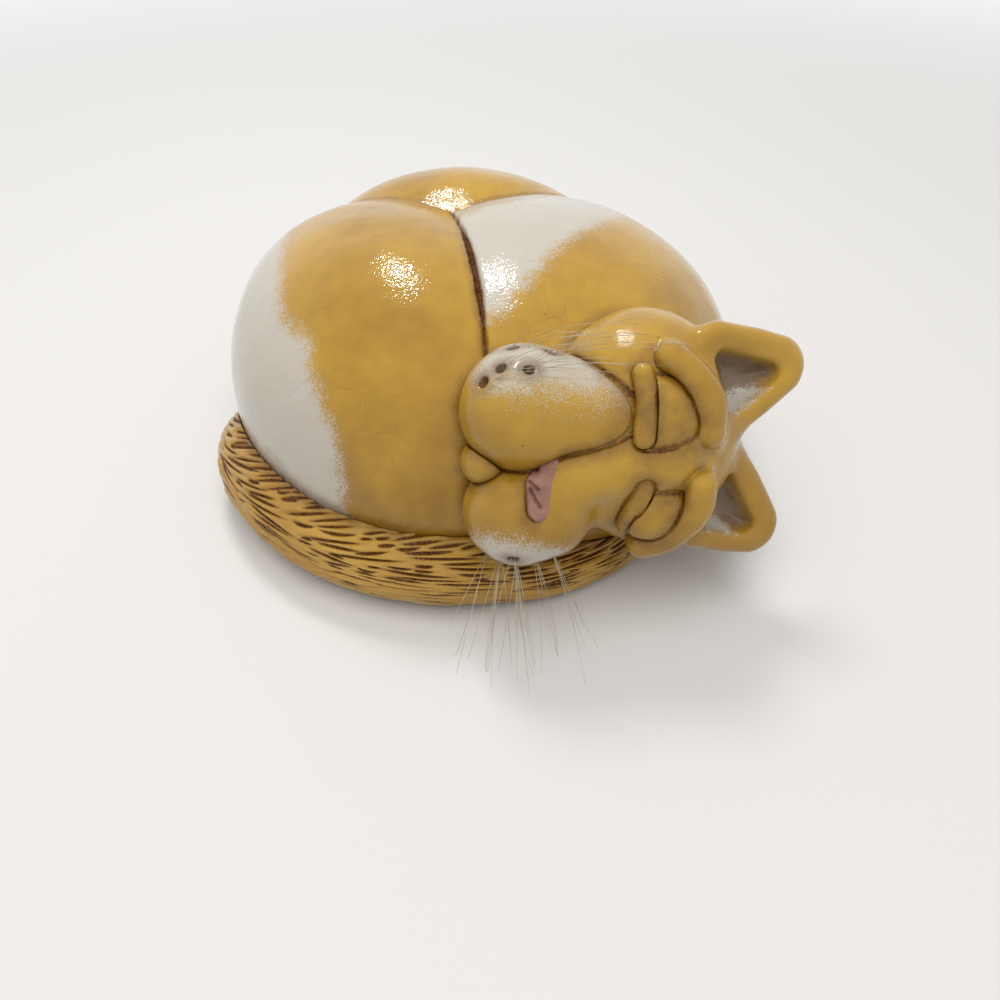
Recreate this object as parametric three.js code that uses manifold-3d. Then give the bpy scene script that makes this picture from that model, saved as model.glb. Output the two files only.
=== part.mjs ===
// A curled-up sleeping cat, made from a dried three-lobed gourd with its tail and head
// modelled on it in clay. Millimetres, +Z up. The origin is the middle of the gourd's
// levelled base, on the plane that the figurine rests on, and the cat's face looks to -Y.
import * as THREE from 'three';
import { mergeVertices } from 'three/addons/utils/BufferGeometryUtils.js';
import Module from 'manifold-3d';

const wasm = await Module();
wasm.setup();

// Driving dimensions of the gourd, with the lobes' places round its axis in degrees
const CLEARANCE = 0.3; // gap kept between pieces that are pressed together
const LOBE_MIDDLE_HEIGHT = 28; // height of the gourd's widest line
const BASE_LEVELLED = 8; // how much of the gourd's round bottom was cut away
const CREASE_SOFTNESS = 2.5; // how far the lobes run together in a crease
const HAUNCH_AZIMUTH = 212;
const HAUNCH_OFFSET = 19.5; // lobe's middle from the gourd's axis
const HAUNCH_REACH = 72; // lobe's outermost point from the axis
const HAUNCH_WIDTH = 140;
const HAUNCH_TOP = 83;
const SHOULDER_AZIMUTH = -15;
const SHOULDER_OFFSET = 24;
const SHOULDER_REACH = 88.5;
const SHOULDER_WIDTH = 138;
const SHOULDER_TOP = 82;
const BACK_AZIMUTH = 88;
const BACK_OFFSET = 30;
const BACK_REACH = 71;
const BACK_WIDTH = 122;
const BACK_TOP = 81;
const GOURD_WALL = 5;

// The wooden plug in the base and the peg that carries the head
const PLUG_DIAMETER = 46;
const PLUG_THICKNESS = 8;
const PLUG_TAPER = 1; // how much its radius narrows upward, so that it wedges in
const PEG_DIAMETER = 10;
const PEG_IN_HEAD = 14;
const PEG_IN_GOURD = 12;

// The tail, a roll of clay round the base
const TAIL_HEIGHT = 29;
const TAIL_THICKNESS = 29;
const TAIL_FLAT = 1; // depth pressed flat where it stands
const TAIL_TIP_DIAMETER = 9;
const TAIL_ROOT_DIAMETER = 17;
const TAIL_ROOT_AZIMUTH = 160;
const TAIL_TIP_AZIMUTH = 342;
const TAIL_PROUD = -6; // the tail's middle line outside the gourd's mean radius beside it
const TAIL_FORWARD = 4; // its ring is laid this far in front of the gourd's axis
const TAIL_ROOT_TUCK = 14; // how far the root runs in under the gourd's side
const TAIL_TIP_TUCK = 5; // and the tip
const TAIL_FULL_FROM = 0.24; // share of its length by which it has swelled from the root
const TAIL_THINS_FROM = 0.55; // share of its length where it begins to thin to the tip

// Where the head sits on the gourd, and how it is turned
const HEAD_AZIMUTH = -50.8;
const HEAD_HEIGHT = 51.2;
const HEAD_PROUD = 2; // the head's origin outside the gourd's surface
const HEAD_LEAN = 65; // how far the face is stood up from lying on its back
const HEAD_TURN = 4;
const HEAD_ROLL = 3;

// The head, in its own frame: x to the ears, y to the cat's right side, z out of the face
const SKULL_LENGTH = 52;
const SKULL_WIDTH = 62;
const SKULL_DEPTH = 48;
const SKULL_SINK = 4; // the skull's middle below the head's origin
const MUZZLE_REACH = 30; // end of the nose's bridge from the skull's middle
const BRIDGE_HEIGHT = 21; // ridge of the nose above the head's origin
const BRIDGE_WIDTH_AT_NOSE = 18;
const BRIDGE_ASIDE_AT_NOSE = 4.8; // toward the cat's left side
const BRIDGE_HEIGHT_AT_EYES = 21.5;
const BRIDGE_WIDTH_AT_EYES = 13;
const BRIDGE_ASIDE_AT_EYES = 2;
const BRIDGE_END = 4; // where it ends between the eyes, past the skull's middle
const BRIDGE_BLEND = 5; // how far the bridge runs into the skull
const NOSE_LENGTH = 18;
const NOSE_WIDTH = 11;
const NOSE_THICKNESS = 9;
const NOSE_TILT = 48; // how far the nose's face is turned down from the bridge
const NOSE_ASIDE = 8; // toward the cat's left side
const NOSE_DROP = 4.2; // middle of the nose below the ridge of the bridge
const NOSE_SET_BACK = 0.8; // middle of the nose behind the end of the bridge
const RIGHT_PAD_DIAMETER = 30;
const RIGHT_PAD_THIN_END = 14; // diameter where the pad runs out under the eye
const RIGHT_PAD_LENGTH = 26; // between the middles of its two ends
const RIGHT_PAD_RISE = 4; // its thin end above its thick end
const RIGHT_PAD_ASIDE = 11.2; // middle of its thick end, toward the cat's right side
const RIGHT_PAD_FORWARD = 2.3; // and past the end of the bridge
const LEFT_PAD_DIAMETER = 28.5;
const LEFT_PAD_REAR_DIAMETER = 26.5;
const LEFT_PAD_LENGTH = 6;
const LEFT_PAD_ASIDE = 16.2;
const LEFT_PAD_FORWARD = 4.7;
const PAD_SINK = 14; // middle of the pads below the ridge of the nose
const CHIN_DIAMETER = 12.5;
const CHIN_DEPTH = 16.5;
const CHIN_ASIDE = 2.2;
const CHIN_FORWARD = 12;
const EYELID_LENGTH = 19;
const RIGHT_EYELID_WIDTH = 16;
const LEFT_EYELID_WIDTH = 13.5;
const EYELID_PROUD = 3.5; // crown of the lid above the skull
const EYELID_SEAT = 4; // depth of the lid's middle below the skull's surface
const LOWER_LID_THICKNESS = 4.8;
const LOWER_LID_PROUD = 0.8; // roll's middle line above the skull
const BROW_THICKNESS = 7.5;
const BROW_PROUD = 1.2; // roll's middle line above the skull
const EAR_LENGTH = 26;
const EAR_WIDTH = 31;
const EAR_THICKNESS = 9;
const EAR_CORNER = 7; // radius of the ear's rounded corners
const EAR_RIM = 5.5;
const EAR_RECESS_DEPTH = 5;
const EAR_RECESS_CORNER = 3;
const EAR_DISH = 2.5; // how far the ear's sides stand forward of its middle
const EAR_SINK = 6; // depth of the ear's root in the skull

// Whiskers: a tuft of hairs glued in each drilled hole of the two pads
const TUFT_ROOT_DIAMETER = 1.6;
const TUFT_ROOT_DEPTH = 4;
const HAIRS_IN_TUFT = 3;
const HAIR_DIAMETER = 0.5; // at the root; each hair tapers to its tip
const HAIR_TIP_DIAMETER = 0.24;
const HAIR_SPREAD = 7; // angle between neighbouring hairs of a tuft, in degrees
const HAIR_LIFT = 0.8; // least gap between a hair and the clay that it sweeps over
const HAIR_COMBED = 0.35; // share by which a tuft leans from its hole's direction
const RIGHT_WHISKER_LENGTH = 30;
const LEFT_WHISKER_LENGTH = 33;

const rad = THREE.MathUtils.degToRad;
const { lerp, smoothstep, clamp } = THREE.MathUtils;
const vec = (x, y, z) => new THREE.Vector3(x, y, z);
const UP = vec(0, 0, 1);
const about = (axis, degrees) => new THREE.Quaternion().setFromAxisAngle(axis, rad(degrees));

const clay = (color) => new THREE.MeshStandardMaterial({ color, roughness: 0.28 });
const ginger = clay(0xd9a441);
const nosePink = clay(0x9c7068);
const bareWood = new THREE.MeshStandardMaterial({ color: 0xb08a5a, roughness: 0.7 });
const whiskerHair = new THREE.MeshStandardMaterial({ color: 0xe6dccb, roughness: 0.4 });

// Signed distance fields: each takes a point and is negative inside its shape
function ellipsoid(centre, radii, turn = new THREE.Quaternion()) {
  const back = turn.clone().invert();
  const q = vec();
  return (p) => {
    q.copy(p).sub(centre).applyQuaternion(back);
    const near = q.divide(radii).length();
    if (near < 1e-6) return -Math.min(radii.x, radii.y, radii.z);
    return (near * (near - 1)) / q.divide(radii).length();
  };
}

function roundCone(a, b, radiusA, radiusB) {
  const axis = b.clone().sub(a);
  const length = axis.length();
  axis.normalize();
  const slope = (radiusA - radiusB) / length;
  const lean = Math.sqrt(1 - slope * slope);
  const q = vec();
  return (p) => {
    q.copy(p).sub(a);
    const along = q.dot(axis);
    const out = Math.sqrt(Math.max(0, q.lengthSq() - along * along));
    const foot = along * lean - out * slope;
    if (foot < 0) return q.length() - radiusA;
    if (foot > length * lean) return p.distanceTo(b) - radiusB;
    return out * lean + along * slope - radiusA;
  };
}

// A flat triangle with rounded corners and edges, pointing along +x, dished toward +z
function roundedTriangle({ tip, root, halfRoot, thickness, rounding, dish }) {
  const top = new THREE.Vector2(tip - rounding, 0);
  const corner = new THREE.Vector2(root + rounding, halfRoot - rounding);
  const slant = top.clone().sub(corner);
  const edge = thickness / 2;
  const q = new THREE.Vector2();
  return (p) => {
    const y = Math.abs(p.y);
    const z = p.z - dish * (y / halfRoot) ** 2;
    q.set(p.x, y).sub(corner);
    const share = clamp(q.dot(slant) / slant.lengthSq(), 0, 1);
    const toSlant = Math.hypot(q.x - share * slant.x, q.y - share * slant.y);
    const toRoot = y < corner.y ? Math.abs(q.x) : q.length();
    const within = q.x > 0 && slant.x * q.y - slant.y * q.x < 0;
    const flat = (within ? -1 : 1) * Math.min(toSlant, toRoot) - rounding + edge;
    return Math.hypot(Math.max(flat, 0), z) - edge;
  };
}

function join(softness, ...fields) {
  return (p) => {
    let d = fields[0](p);
    for (const field of fields.slice(1)) {
      const e = field(p);
      const h = Math.max(softness - Math.abs(d - e), 0) / softness;
      d = Math.min(d, e) - (h * h * softness) / 4;
    }
    return d;
  };
}

// Distance along a ray, from a point inside a field, to where the field leaves a level
const LONGEST_RAY = 160;
function reachOut(field, from, direction, level = 0) {
  const p = vec();
  let low = 0;
  let high = LONGEST_RAY;
  for (let i = 0; i < 30; i += 1) {
    const middle = (low + high) / 2;
    p.copy(from).addScaledVector(direction, middle);
    if (field(p) < level) low = middle;
    else high = middle;
  }
  return low;
}

// Closed skin of a rounded field, cast from a point inside it
function blob(field, heart, detail, level = 0) {
  const ball = new THREE.IcosahedronGeometry(1, detail);
  ball.deleteAttribute('normal');
  ball.deleteAttribute('uv');
  const skin = mergeVertices(ball, 1e-5);
  const places = skin.attributes.position;
  const ray = vec();
  const p = vec();
  for (let i = 0; i < places.count; i += 1) {
    ray.fromBufferAttribute(places, i).normalize();
    p.copy(heart).addScaledVector(ray, reachOut(field, heart, ray, level));
    places.setXYZ(i, p.x, p.y, p.z);
  }
  return skin;
}

// Closed roll along a curve, round at both ends, with its two half sizes given along it;
// its rings stand closer together toward the ends
function roll({ curve, sideways, halfWide, halfTall, steps, sides, grow = 0 }) {
  const length = curve.getLength();
  const total = length + 2 * grow;
  const positions = [];
  for (let i = 0; i <= steps; i += 1) {
    const even = i / steps;
    const t = (even + (1 - Math.cos(Math.PI * even)) / 2) / 2;
    const along = clamp((t * total - grow) / length, 0, 1);
    const forward = curve.getTangentAt(along);
    const middle = curve.getPointAt(along);
    middle.addScaledVector(forward, t * total - grow - along * length);
    const wide = halfWide(along) + grow;
    const tall = halfTall(along) + grow;
    const toEnd = (Math.min(t, 1 - t) * total) / Math.min(wide, total / 2);
    const round = toEnd < 1 ? Math.sqrt(1 - (1 - toEnd) ** 2) : 1;
    const across = sideways(middle, forward).normalize();
    const over = forward.clone().cross(across).normalize();
    const corners = i === 0 || i === steps ? 1 : sides;
    for (let k = 0; k < corners; k += 1) {
      const angle = (2 * Math.PI * k) / sides;
      const p = middle.clone();
      p.addScaledVector(across, wide * round * Math.cos(angle));
      p.addScaledVector(over, tall * round * Math.sin(angle));
      positions.push(p.x, p.y, p.z);
    }
  }
  const skin = new THREE.BufferGeometry();
  skin.setAttribute('position', new THREE.Float32BufferAttribute(positions, 3));
  skin.setIndex(stitchRings(steps - 1, sides));
  return skin;
}

// Faces of a stack of rings that is closed by one point below and one point above
function stitchRings(rings, sides) {
  const faces = [];
  const last = rings * sides + 1;
  const corner = (i, k) => 1 + i * sides + (k % sides);
  for (let k = 0; k < sides; k += 1) {
    faces.push(0, corner(0, k + 1), corner(0, k));
    faces.push(last, corner(rings - 1, k), corner(rings - 1, k + 1));
    for (let i = 0; i < rings - 1; i += 1) {
      faces.push(corner(i, k), corner(i, k + 1), corner(i + 1, k + 1));
      faces.push(corner(i, k), corner(i + 1, k + 1), corner(i + 1, k));
    }
  }
  return faces;
}

// Solids for joining and cutting, always in the figurine's own frame
function solid(geometry, group = null) {
  let skin = geometry.clone();
  skin.deleteAttribute('normal');
  skin.deleteAttribute('uv');
  skin = mergeVertices(skin, 1e-4);
  if (group) skin.applyMatrix4(group.matrixWorld);
  return new wasm.Manifold(
    new wasm.Mesh({
      numProp: 3,
      vertProperties: new Float32Array(skin.attributes.position.array),
      triVerts: new Uint32Array(skin.index.array),
    }),
  );
}

function largest(made) {
  return made.decompose().reduce((a, b) => (a.volume() > b.volume() ? a : b));
}

const FAR = 400;
function belowLevel(z) {
  const slab = new THREE.BoxGeometry(FAR, FAR, FAR);
  slab.translate(0, 0, z - FAR / 2);
  return solid(slab);
}

// Put a finished solid into its group as a named mesh, placed at its own middle
function place(name, made, group, material) {
  const { vertProperties, triVerts } = made.getMesh();
  const shape = new THREE.BufferGeometry();
  shape.setAttribute('position', new THREE.Float32BufferAttribute(vertProperties, 3));
  shape.setIndex(Array.from(triVerts));
  shape.applyMatrix4(group.matrixWorld.clone().invert());
  shape.computeBoundingBox();
  const middle = shape.boundingBox.getCenter(vec());
  shape.translate(-middle.x, -middle.y, -middle.z);
  shape.computeVertexNormals();
  const mesh = new THREE.Mesh(shape, material);
  mesh.name = name;
  mesh.position.copy(middle);
  group.add(mesh);
}

// Grown copies of the pieces made so far: each later piece is pared back from them, so
// that clay pressed against clay keeps its clearance
const madeBefore = [];
function addPiece(name, group, material, skin, recess = null) {
  let made = solid(skin(0), group);
  if (recess) made = made.subtract(recess);
  for (const grown of madeBefore) made = made.subtract(grown);
  place(name, largest(made.subtract(belowLevel(0))), group, material);
  madeBefore.push(solid(skin(CLEARANCE), group));
}

const cat = new THREE.Group();
const body = new THREE.Group();
const head = new THREE.Group();
cat.add(body);
cat.add(head);

// Gourd
function lobe(azimuth, offset, reach, width, top) {
  const turn = about(UP, azimuth);
  const centre = vec(offset, 0, 0).applyQuaternion(turn);
  centre.z = LOBE_MIDDLE_HEIGHT;
  const upper = vec(reach - offset, width / 2, top - LOBE_MIDDLE_HEIGHT);
  const lower = upper.clone().setZ(LOBE_MIDDLE_HEIGHT + BASE_LEVELLED);
  const above = ellipsoid(centre, upper, turn);
  const below = ellipsoid(centre, lower, turn);
  return (p) => (p.z > LOBE_MIDDLE_HEIGHT ? above(p) : below(p));
}
const gourdField = join(
  CREASE_SOFTNESS,
  lobe(HAUNCH_AZIMUTH, HAUNCH_OFFSET, HAUNCH_REACH, HAUNCH_WIDTH, HAUNCH_TOP),
  lobe(SHOULDER_AZIMUTH, SHOULDER_OFFSET, SHOULDER_REACH, SHOULDER_WIDTH, SHOULDER_TOP),
  lobe(BACK_AZIMUTH, BACK_OFFSET, BACK_REACH, BACK_WIDTH, BACK_TOP),
);
const gourdHeart = vec(0, 0, LOBE_MIDDLE_HEIGHT);
function gourdRadius(azimuth, height) {
  const out = vec(Math.cos(azimuth), Math.sin(azimuth), 0);
  return reachOut(gourdField, vec(0, 0, height), out);
}
const gourdSkin = (level) => blob(gourdField, gourdHeart, 10, level);

// Head's place: out from the gourd's surface along its own azimuth
const headOut = vec(Math.cos(rad(HEAD_AZIMUTH)), Math.sin(rad(HEAD_AZIMUTH)), 0);
const headRadius = gourdRadius(rad(HEAD_AZIMUTH), HEAD_HEIGHT) + HEAD_PROUD;
head.position.copy(headOut).multiplyScalar(headRadius).setZ(HEAD_HEIGHT);
head.quaternion.copy(about(UP, HEAD_TURN));
head.quaternion.multiply(about(vec(1, 0, 0), HEAD_LEAN)).multiply(about(UP, HEAD_ROLL));
head.updateMatrixWorld(true);

// Peg between the gourd and the head, level and square to the gourd's wall
function pegSkin(grow) {
  const length = PEG_IN_GOURD + PEG_IN_HEAD + 2 * grow;
  const peg = new THREE.CylinderGeometry(
    PEG_DIAMETER / 2 + grow,
    PEG_DIAMETER / 2 + grow,
    length,
    20,
  );
  peg.rotateX(Math.PI / 2);
  peg.applyQuaternion(new THREE.Quaternion().setFromUnitVectors(UP, headOut));
  const middle = headRadius - HEAD_PROUD + (PEG_IN_HEAD - PEG_IN_GOURD) / 2;
  peg.translate(headOut.x * middle, headOut.y * middle, HEAD_HEIGHT);
  return peg;
}
addPiece('neck_peg', body, bareWood, pegSkin);

// Plug, a tapered disc that closes the hole through which the gourd was cleaned
function plugSkin(grow) {
  const low = PLUG_DIAMETER / 2 + grow;
  const top = PLUG_THICKNESS + grow;
  const profile = [
    new THREE.Vector2(0, -grow),
    new THREE.Vector2(low, -grow),
    new THREE.Vector2(low - PLUG_TAPER, top),
    new THREE.Vector2(0, top),
  ];
  return new THREE.LatheGeometry(profile, 48).rotateX(Math.PI / 2);
}
addPiece('base_plug', body, bareWood, plugSkin);

// Gourd shell: the hollow is reached by the plug's hole, and each hole keeps its clearance
const hollow = solid(blob(gourdField, gourdHeart, 5, -GOURD_WALL));
let shell = solid(gourdSkin(0)).subtract(belowLevel(0));
shell = shell.subtract(hollow.subtract(belowLevel(GOURD_WALL)));
for (const grown of madeBefore) shell = shell.subtract(grown);
place('gourd_shell', largest(shell), body, ginger);
madeBefore.push(solid(gourdSkin(CLEARANCE)));

// Tail: a ring that rests against the gourd, thin at its tucked root and at its tip
function tailThin(t) {
  const atRoot = lerp(TAIL_ROOT_DIAMETER / TAIL_HEIGHT, 1, smoothstep(t, 0, TAIL_FULL_FROM));
  const toTip = smoothstep(t, TAIL_THINS_FROM, 1);
  return atRoot * lerp(1, TAIL_TIP_DIAMETER / TAIL_HEIGHT, toTip);
}
const TAIL_STATIONS = 24;
const tailAzimuth = (t) => rad(lerp(TAIL_ROOT_AZIMUTH, TAIL_TIP_AZIMUTH, t));
let tailSeat = 0;
for (let i = 0; i <= TAIL_STATIONS; i += 1) {
  tailSeat += gourdRadius(tailAzimuth(i / TAIL_STATIONS), TAIL_HEIGHT / 2) / (TAIL_STATIONS + 1);
}
const tailOuter = tailSeat + TAIL_PROUD + TAIL_THICKNESS / 2;
function tailOut(t) {
  const rootTuck = TAIL_ROOT_TUCK * (1 - smoothstep(t, 0, TAIL_FULL_FROM));
  const tipTuck = TAIL_TIP_TUCK * smoothstep(t, (1 + TAIL_THINS_FROM) / 2, 1);
  return tailOuter - rootTuck - tipTuck - (TAIL_THICKNESS / 2) * tailThin(t);
}
const tailPoints = [];
for (let i = 0; i <= TAIL_STATIONS; i += 1) {
  const t = i / TAIL_STATIONS;
  const x = tailOut(t) * Math.cos(tailAzimuth(t));
  const y = tailOut(t) * Math.sin(tailAzimuth(t)) - TAIL_FORWARD;
  tailPoints.push(vec(x, y, (TAIL_HEIGHT / 2) * tailThin(t) - TAIL_FLAT));
}
const tailCurve = new THREE.CatmullRomCurve3(tailPoints);
const tailSkin = (grow) =>
  roll({
    curve: tailCurve,
    sideways: (middle) => vec(middle.x, middle.y + TAIL_FORWARD, 0),
    halfWide: (t) => (TAIL_THICKNESS / 2) * tailThin(t),
    halfTall: (t) => (TAIL_HEIGHT / 2) * tailThin(t),
    steps: 32,
    sides: 12,
    grow,
  });
addPiece('tail', body, ginger, tailSkin);

// Distance to the tail's surface, for the whiskers that hang over it
function tailField(p) {
  const turned = THREE.MathUtils.radToDeg(Math.atan2(p.y + TAIL_FORWARD, p.x));
  const azimuth = turned < TAIL_ROOT_AZIMUTH - 180 ? turned + 360 : turned;
  const t = clamp((azimuth - TAIL_ROOT_AZIMUTH) / (TAIL_TIP_AZIMUTH - TAIL_ROOT_AZIMUTH), 0, 1);
  const radius = (TAIL_HEIGHT / 2) * tailThin(t);
  const out = Math.hypot(p.x, p.y + TAIL_FORWARD) - tailOut(t);
  return Math.hypot(out, p.z - radius + TAIL_FLAT) - radius;
}

// Skull and the bridge of the nose, one piece of clay that the small pieces sit on
const skullMiddle = vec(0, 0, -SKULL_SINK);
const skullRadii = vec(SKULL_LENGTH / 2, SKULL_WIDTH / 2, SKULL_DEPTH / 2);
const skull = ellipsoid(skullMiddle, skullRadii);
const bridgeAtNose = BRIDGE_WIDTH_AT_NOSE / 2;
const bridgeAtEyes = BRIDGE_WIDTH_AT_EYES / 2;
const bridge = roundCone(
  vec(-MUZZLE_REACH + bridgeAtNose, -BRIDGE_ASIDE_AT_NOSE, BRIDGE_HEIGHT - bridgeAtNose),
  vec(BRIDGE_END, -BRIDGE_ASIDE_AT_EYES, BRIDGE_HEIGHT_AT_EYES - bridgeAtEyes),
  bridgeAtNose,
  bridgeAtEyes,
);
const headField = join(BRIDGE_BLEND, skull, bridge);

// A place on the face: shares of the skull's half length and half width, and its height
// above the skull's surface there
function onFace(shareX, shareY, proud) {
  const p = vec(shareX * skullRadii.x, shareY * skullRadii.y, -SKULL_SINK);
  return p.setZ(p.z + reachOut(skull, p, UP) + proud);
}

// Nose: a button on the slanted end of the bridge
const noseMiddle = vec(-MUZZLE_REACH + NOSE_SET_BACK, -NOSE_ASIDE, BRIDGE_HEIGHT - NOSE_DROP);
const noseRadii = vec(NOSE_WIDTH / 2, NOSE_LENGTH / 2, NOSE_THICKNESS / 2);
const noseField = ellipsoid(noseMiddle, noseRadii, about(vec(0, 1, 0), -NOSE_TILT));
addPiece('nose', head, nosePink, (level) => blob(noseField, noseMiddle, 4, level));

// A small roll of clay laid on the face, through places given as shares of the skull
function faceRoll(name, thickness, proud, steps, places) {
  const points = places.map(([shareX, shareY]) => onFace(shareX, shareY, proud));
  const curve = new THREE.CatmullRomCurve3(points);
  const skin = (grow) =>
    roll({
      curve,
      sideways: (middle, forward) => forward.clone().cross(UP),
      halfWide: () => thickness / 2,
      halfTall: () => thickness / 2,
      steps,
      sides: 8,
      grow,
    });
  addPiece(name, head, ginger, skin);
}
const RIGHT_LOWER_LID = [[-0.14, 0.61], [-0.17, 0.32], [-0.17, 0.03]];
const LEFT_LOWER_LID = [[-0.14, -0.29], [-0.25, -0.48], [-0.33, -0.69]];
faceRoll('right_lower_lid', LOWER_LID_THICKNESS, LOWER_LID_PROUD, 10, RIGHT_LOWER_LID);
faceRoll('left_lower_lid', LOWER_LID_THICKNESS, LOWER_LID_PROUD, 10, LEFT_LOWER_LID);

// Eyelids: low domes, each with its lower lid's roll laid over its inner side
function eyelid(name, width, shareX, shareY, turn) {
  const middle = onFace(shareX, shareY, -EYELID_SEAT);
  const radii = vec(width / 2, EYELID_LENGTH / 2, EYELID_SEAT + EYELID_PROUD);
  const field = ellipsoid(middle, radii, about(UP, turn));
  addPiece(name, head, ginger, (level) => blob(field, middle, 4, level));
}
eyelid('right_eyelid', RIGHT_EYELID_WIDTH, 0.05, 0.22, 0);
eyelid('left_eyelid', LEFT_EYELID_WIDTH, 0.03, -0.46, -20);

// Brows: thicker rolls that curve round behind the eyelids
const RIGHT_BROW = [[0, 0.77], [0.25, 0.61], [0.37, 0.39], [0.4, 0.15], [0.29, -0.02]];
const LEFT_BROW = [[0.21, -0.19], [0.31, -0.35], [0.25, -0.56], [0.06, -0.76], [-0.17, -0.89]];
faceRoll('right_brow', BROW_THICKNESS, BROW_PROUD, 14, RIGHT_BROW);
faceRoll('left_brow', BROW_THICKNESS, BROW_PROUD, 14, LEFT_BROW);

// Whisker pads: round at the muzzle, the right one running out under its eye
const rightPad = RIGHT_PAD_DIAMETER / 2;
const padLevel = BRIDGE_HEIGHT - PAD_SINK;
const rightPadHeart = vec(-MUZZLE_REACH - RIGHT_PAD_FORWARD, RIGHT_PAD_ASIDE, padLevel);
const rightPadEnd = rightPadHeart.clone();
rightPadEnd.add(vec(RIGHT_PAD_LENGTH, -BRIDGE_ASIDE_AT_EYES, RIGHT_PAD_RISE));
const rightPadField = roundCone(rightPadHeart, rightPadEnd, rightPad, RIGHT_PAD_THIN_END / 2);
const leftPad = LEFT_PAD_DIAMETER / 2;
const leftPadHeart = vec(-MUZZLE_REACH - LEFT_PAD_FORWARD, -LEFT_PAD_ASIDE, padLevel);
const leftPadEnd = leftPadHeart.clone().add(vec(LEFT_PAD_LENGTH, 0, 0));
const leftPadField = roundCone(leftPadHeart, leftPadEnd, leftPad, LEFT_PAD_REAR_DIAMETER / 2);

// Distance from a place in the head's frame to the clay that a whisker passes over
function overClay(p) {
  const inWorld = head.localToWorld(p.clone());
  const parts = [rightPadField(p), leftPadField(p), headField(p), gourdField(inWorld)];
  return Math.min(...parts, tailField(inWorld));
}

function liftOff(p, gap) {
  for (let i = 0; i < 8; i += 1) {
    const near = overClay(p);
    if (near >= gap) return;
    const slope = vec(
      overClay(p.clone().add(vec(0.1, 0, 0))) - near,
      overClay(p.clone().add(vec(0, 0.1, 0))) - near,
      overClay(p.clone().add(vec(0, 0, 0.1))) - near,
    );
    p.addScaledVector(slope.normalize(), gap - near + 0.05);
  }
}

// One hair, from inside its root to its tip; sweep bends it along the cheek
function hair(root, start, sweep, length) {
  const points = [];
  for (const s of [-0.05, 0, 0.12, 0.3, 0.55, 0.8, 1]) {
    const bend = Math.max(s, 0) ** 1.5;
    const p = root.clone().addScaledVector(start, length * (s - 0.5 * bend * sweep.length()));
    p.addScaledVector(sweep, length * 0.8 * bend);
    if (s > 0.1) liftOff(p, HAIR_LIFT);
    points.push(p);
  }
  return roll({
    curve: new THREE.CatmullRomCurve3(points),
    sideways: (middle, forward) => forward.clone().cross(vec(0.2, 0.3, 1)),
    halfWide: (t) => lerp(HAIR_DIAMETER, HAIR_TIP_DIAMETER, t) / 2,
    halfTall: (t) => lerp(HAIR_DIAMETER, HAIR_TIP_DIAMETER, t) / 2,
    steps: 6,
    sides: 3,
  });
}

// A tuft in its hole: the hairs fan out round the hole's own direction
function tuft(name, padField, heart, toHole, comb, sweep, length) {
  const out = toHole.clone().normalize();
  const mouth = heart.clone().addScaledVector(out, reachOut(padField, heart, out));
  const rootShape = (grow) => {
    const radius = TUFT_ROOT_DIAMETER / 2 + grow;
    const shape = new THREE.CylinderGeometry(radius, radius, TUFT_ROOT_DEPTH + 2 * grow, 8);
    shape.translate(0, -TUFT_ROOT_DEPTH / 2, 0);
    shape.applyQuaternion(new THREE.Quaternion().setFromUnitVectors(vec(0, 1, 0), out));
    return shape.translate(mouth.x, mouth.y, mouth.z);
  };
  let made = solid(rootShape(0), head);
  const combed = out.clone().lerp(comb, HAIR_COMBED).normalize();
  const fanAxis = vec(1, 0, 0).projectOnPlane(combed).normalize();
  for (let i = 0; i < HAIRS_IN_TUFT; i += 1) {
    const share = i - (HAIRS_IN_TUFT - 1) / 2;
    const start = combed.clone();
    start.addScaledVector(fanAxis, Math.tan(rad(HAIR_SPREAD)) * share).normalize();
    const grown = length * (1 - 0.12 * (i % 2));
    made = made.add(solid(hair(mouth, start, sweep, grown), head));
  }
  place(name, made, head, whiskerHair);
  madeBefore.push(solid(rootShape(CLEARANCE), head));
}
const alongCheek = vec(1, -0.2, 0.25);
const straight = vec(0, 0, 0);
const hanging = vec(-0.05, -0.92, 0.38);

// Directions of the holes from the middle of the pad that they are drilled in
const RIGHT_HOLES = [
  vec(-8.4, 7.5, 7),
  vec(-4.2, 10.6, 7.5),
  vec(2, 10.3, 10),
  vec(-0.5, 13.5, 1),
  vec(8, 12, 2),
];
const LEFT_HOLES = [
  vec(-9, -8.5, 3),
  vec(-5.5, -10.5, 3),
  vec(-2.5, -8.5, 8.6),
  vec(-1.5, -11.5, 3),
  vec(3, -11, 4),
  vec(7, -9.5, 4),
];
RIGHT_HOLES.forEach((toHole, i) => {
  const name = `right_whisker_tuft_${i + 1}`;
  tuft(name, rightPadField, rightPadHeart, toHole, alongCheek, alongCheek, RIGHT_WHISKER_LENGTH);
});
LEFT_HOLES.forEach((toHole, i) => {
  const name = `left_whisker_tuft_${i + 1}`;
  tuft(name, leftPadField, leftPadHeart, toHole, hanging, straight, LEFT_WHISKER_LENGTH);
});
addPiece('right_whisker_pad', head, ginger, (level) => blob(rightPadField, rightPadHeart, 5, level));
addPiece('left_whisker_pad', head, ginger, (level) => blob(leftPadField, leftPadHeart, 5, level));

const chinHeart = vec(-MUZZLE_REACH - CHIN_FORWARD, -CHIN_ASIDE, padLevel);
const chinField = ellipsoid(chinHeart, vec(CHIN_DIAMETER / 2, CHIN_DIAMETER / 2, CHIN_DEPTH / 2));
addPiece('chin', head, ginger, (level) => blob(chinField, chinHeart, 3, level));

addPiece('head_core', head, ginger, (level) => blob(headField, vec(0, 0, 2), 6, level));

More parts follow.
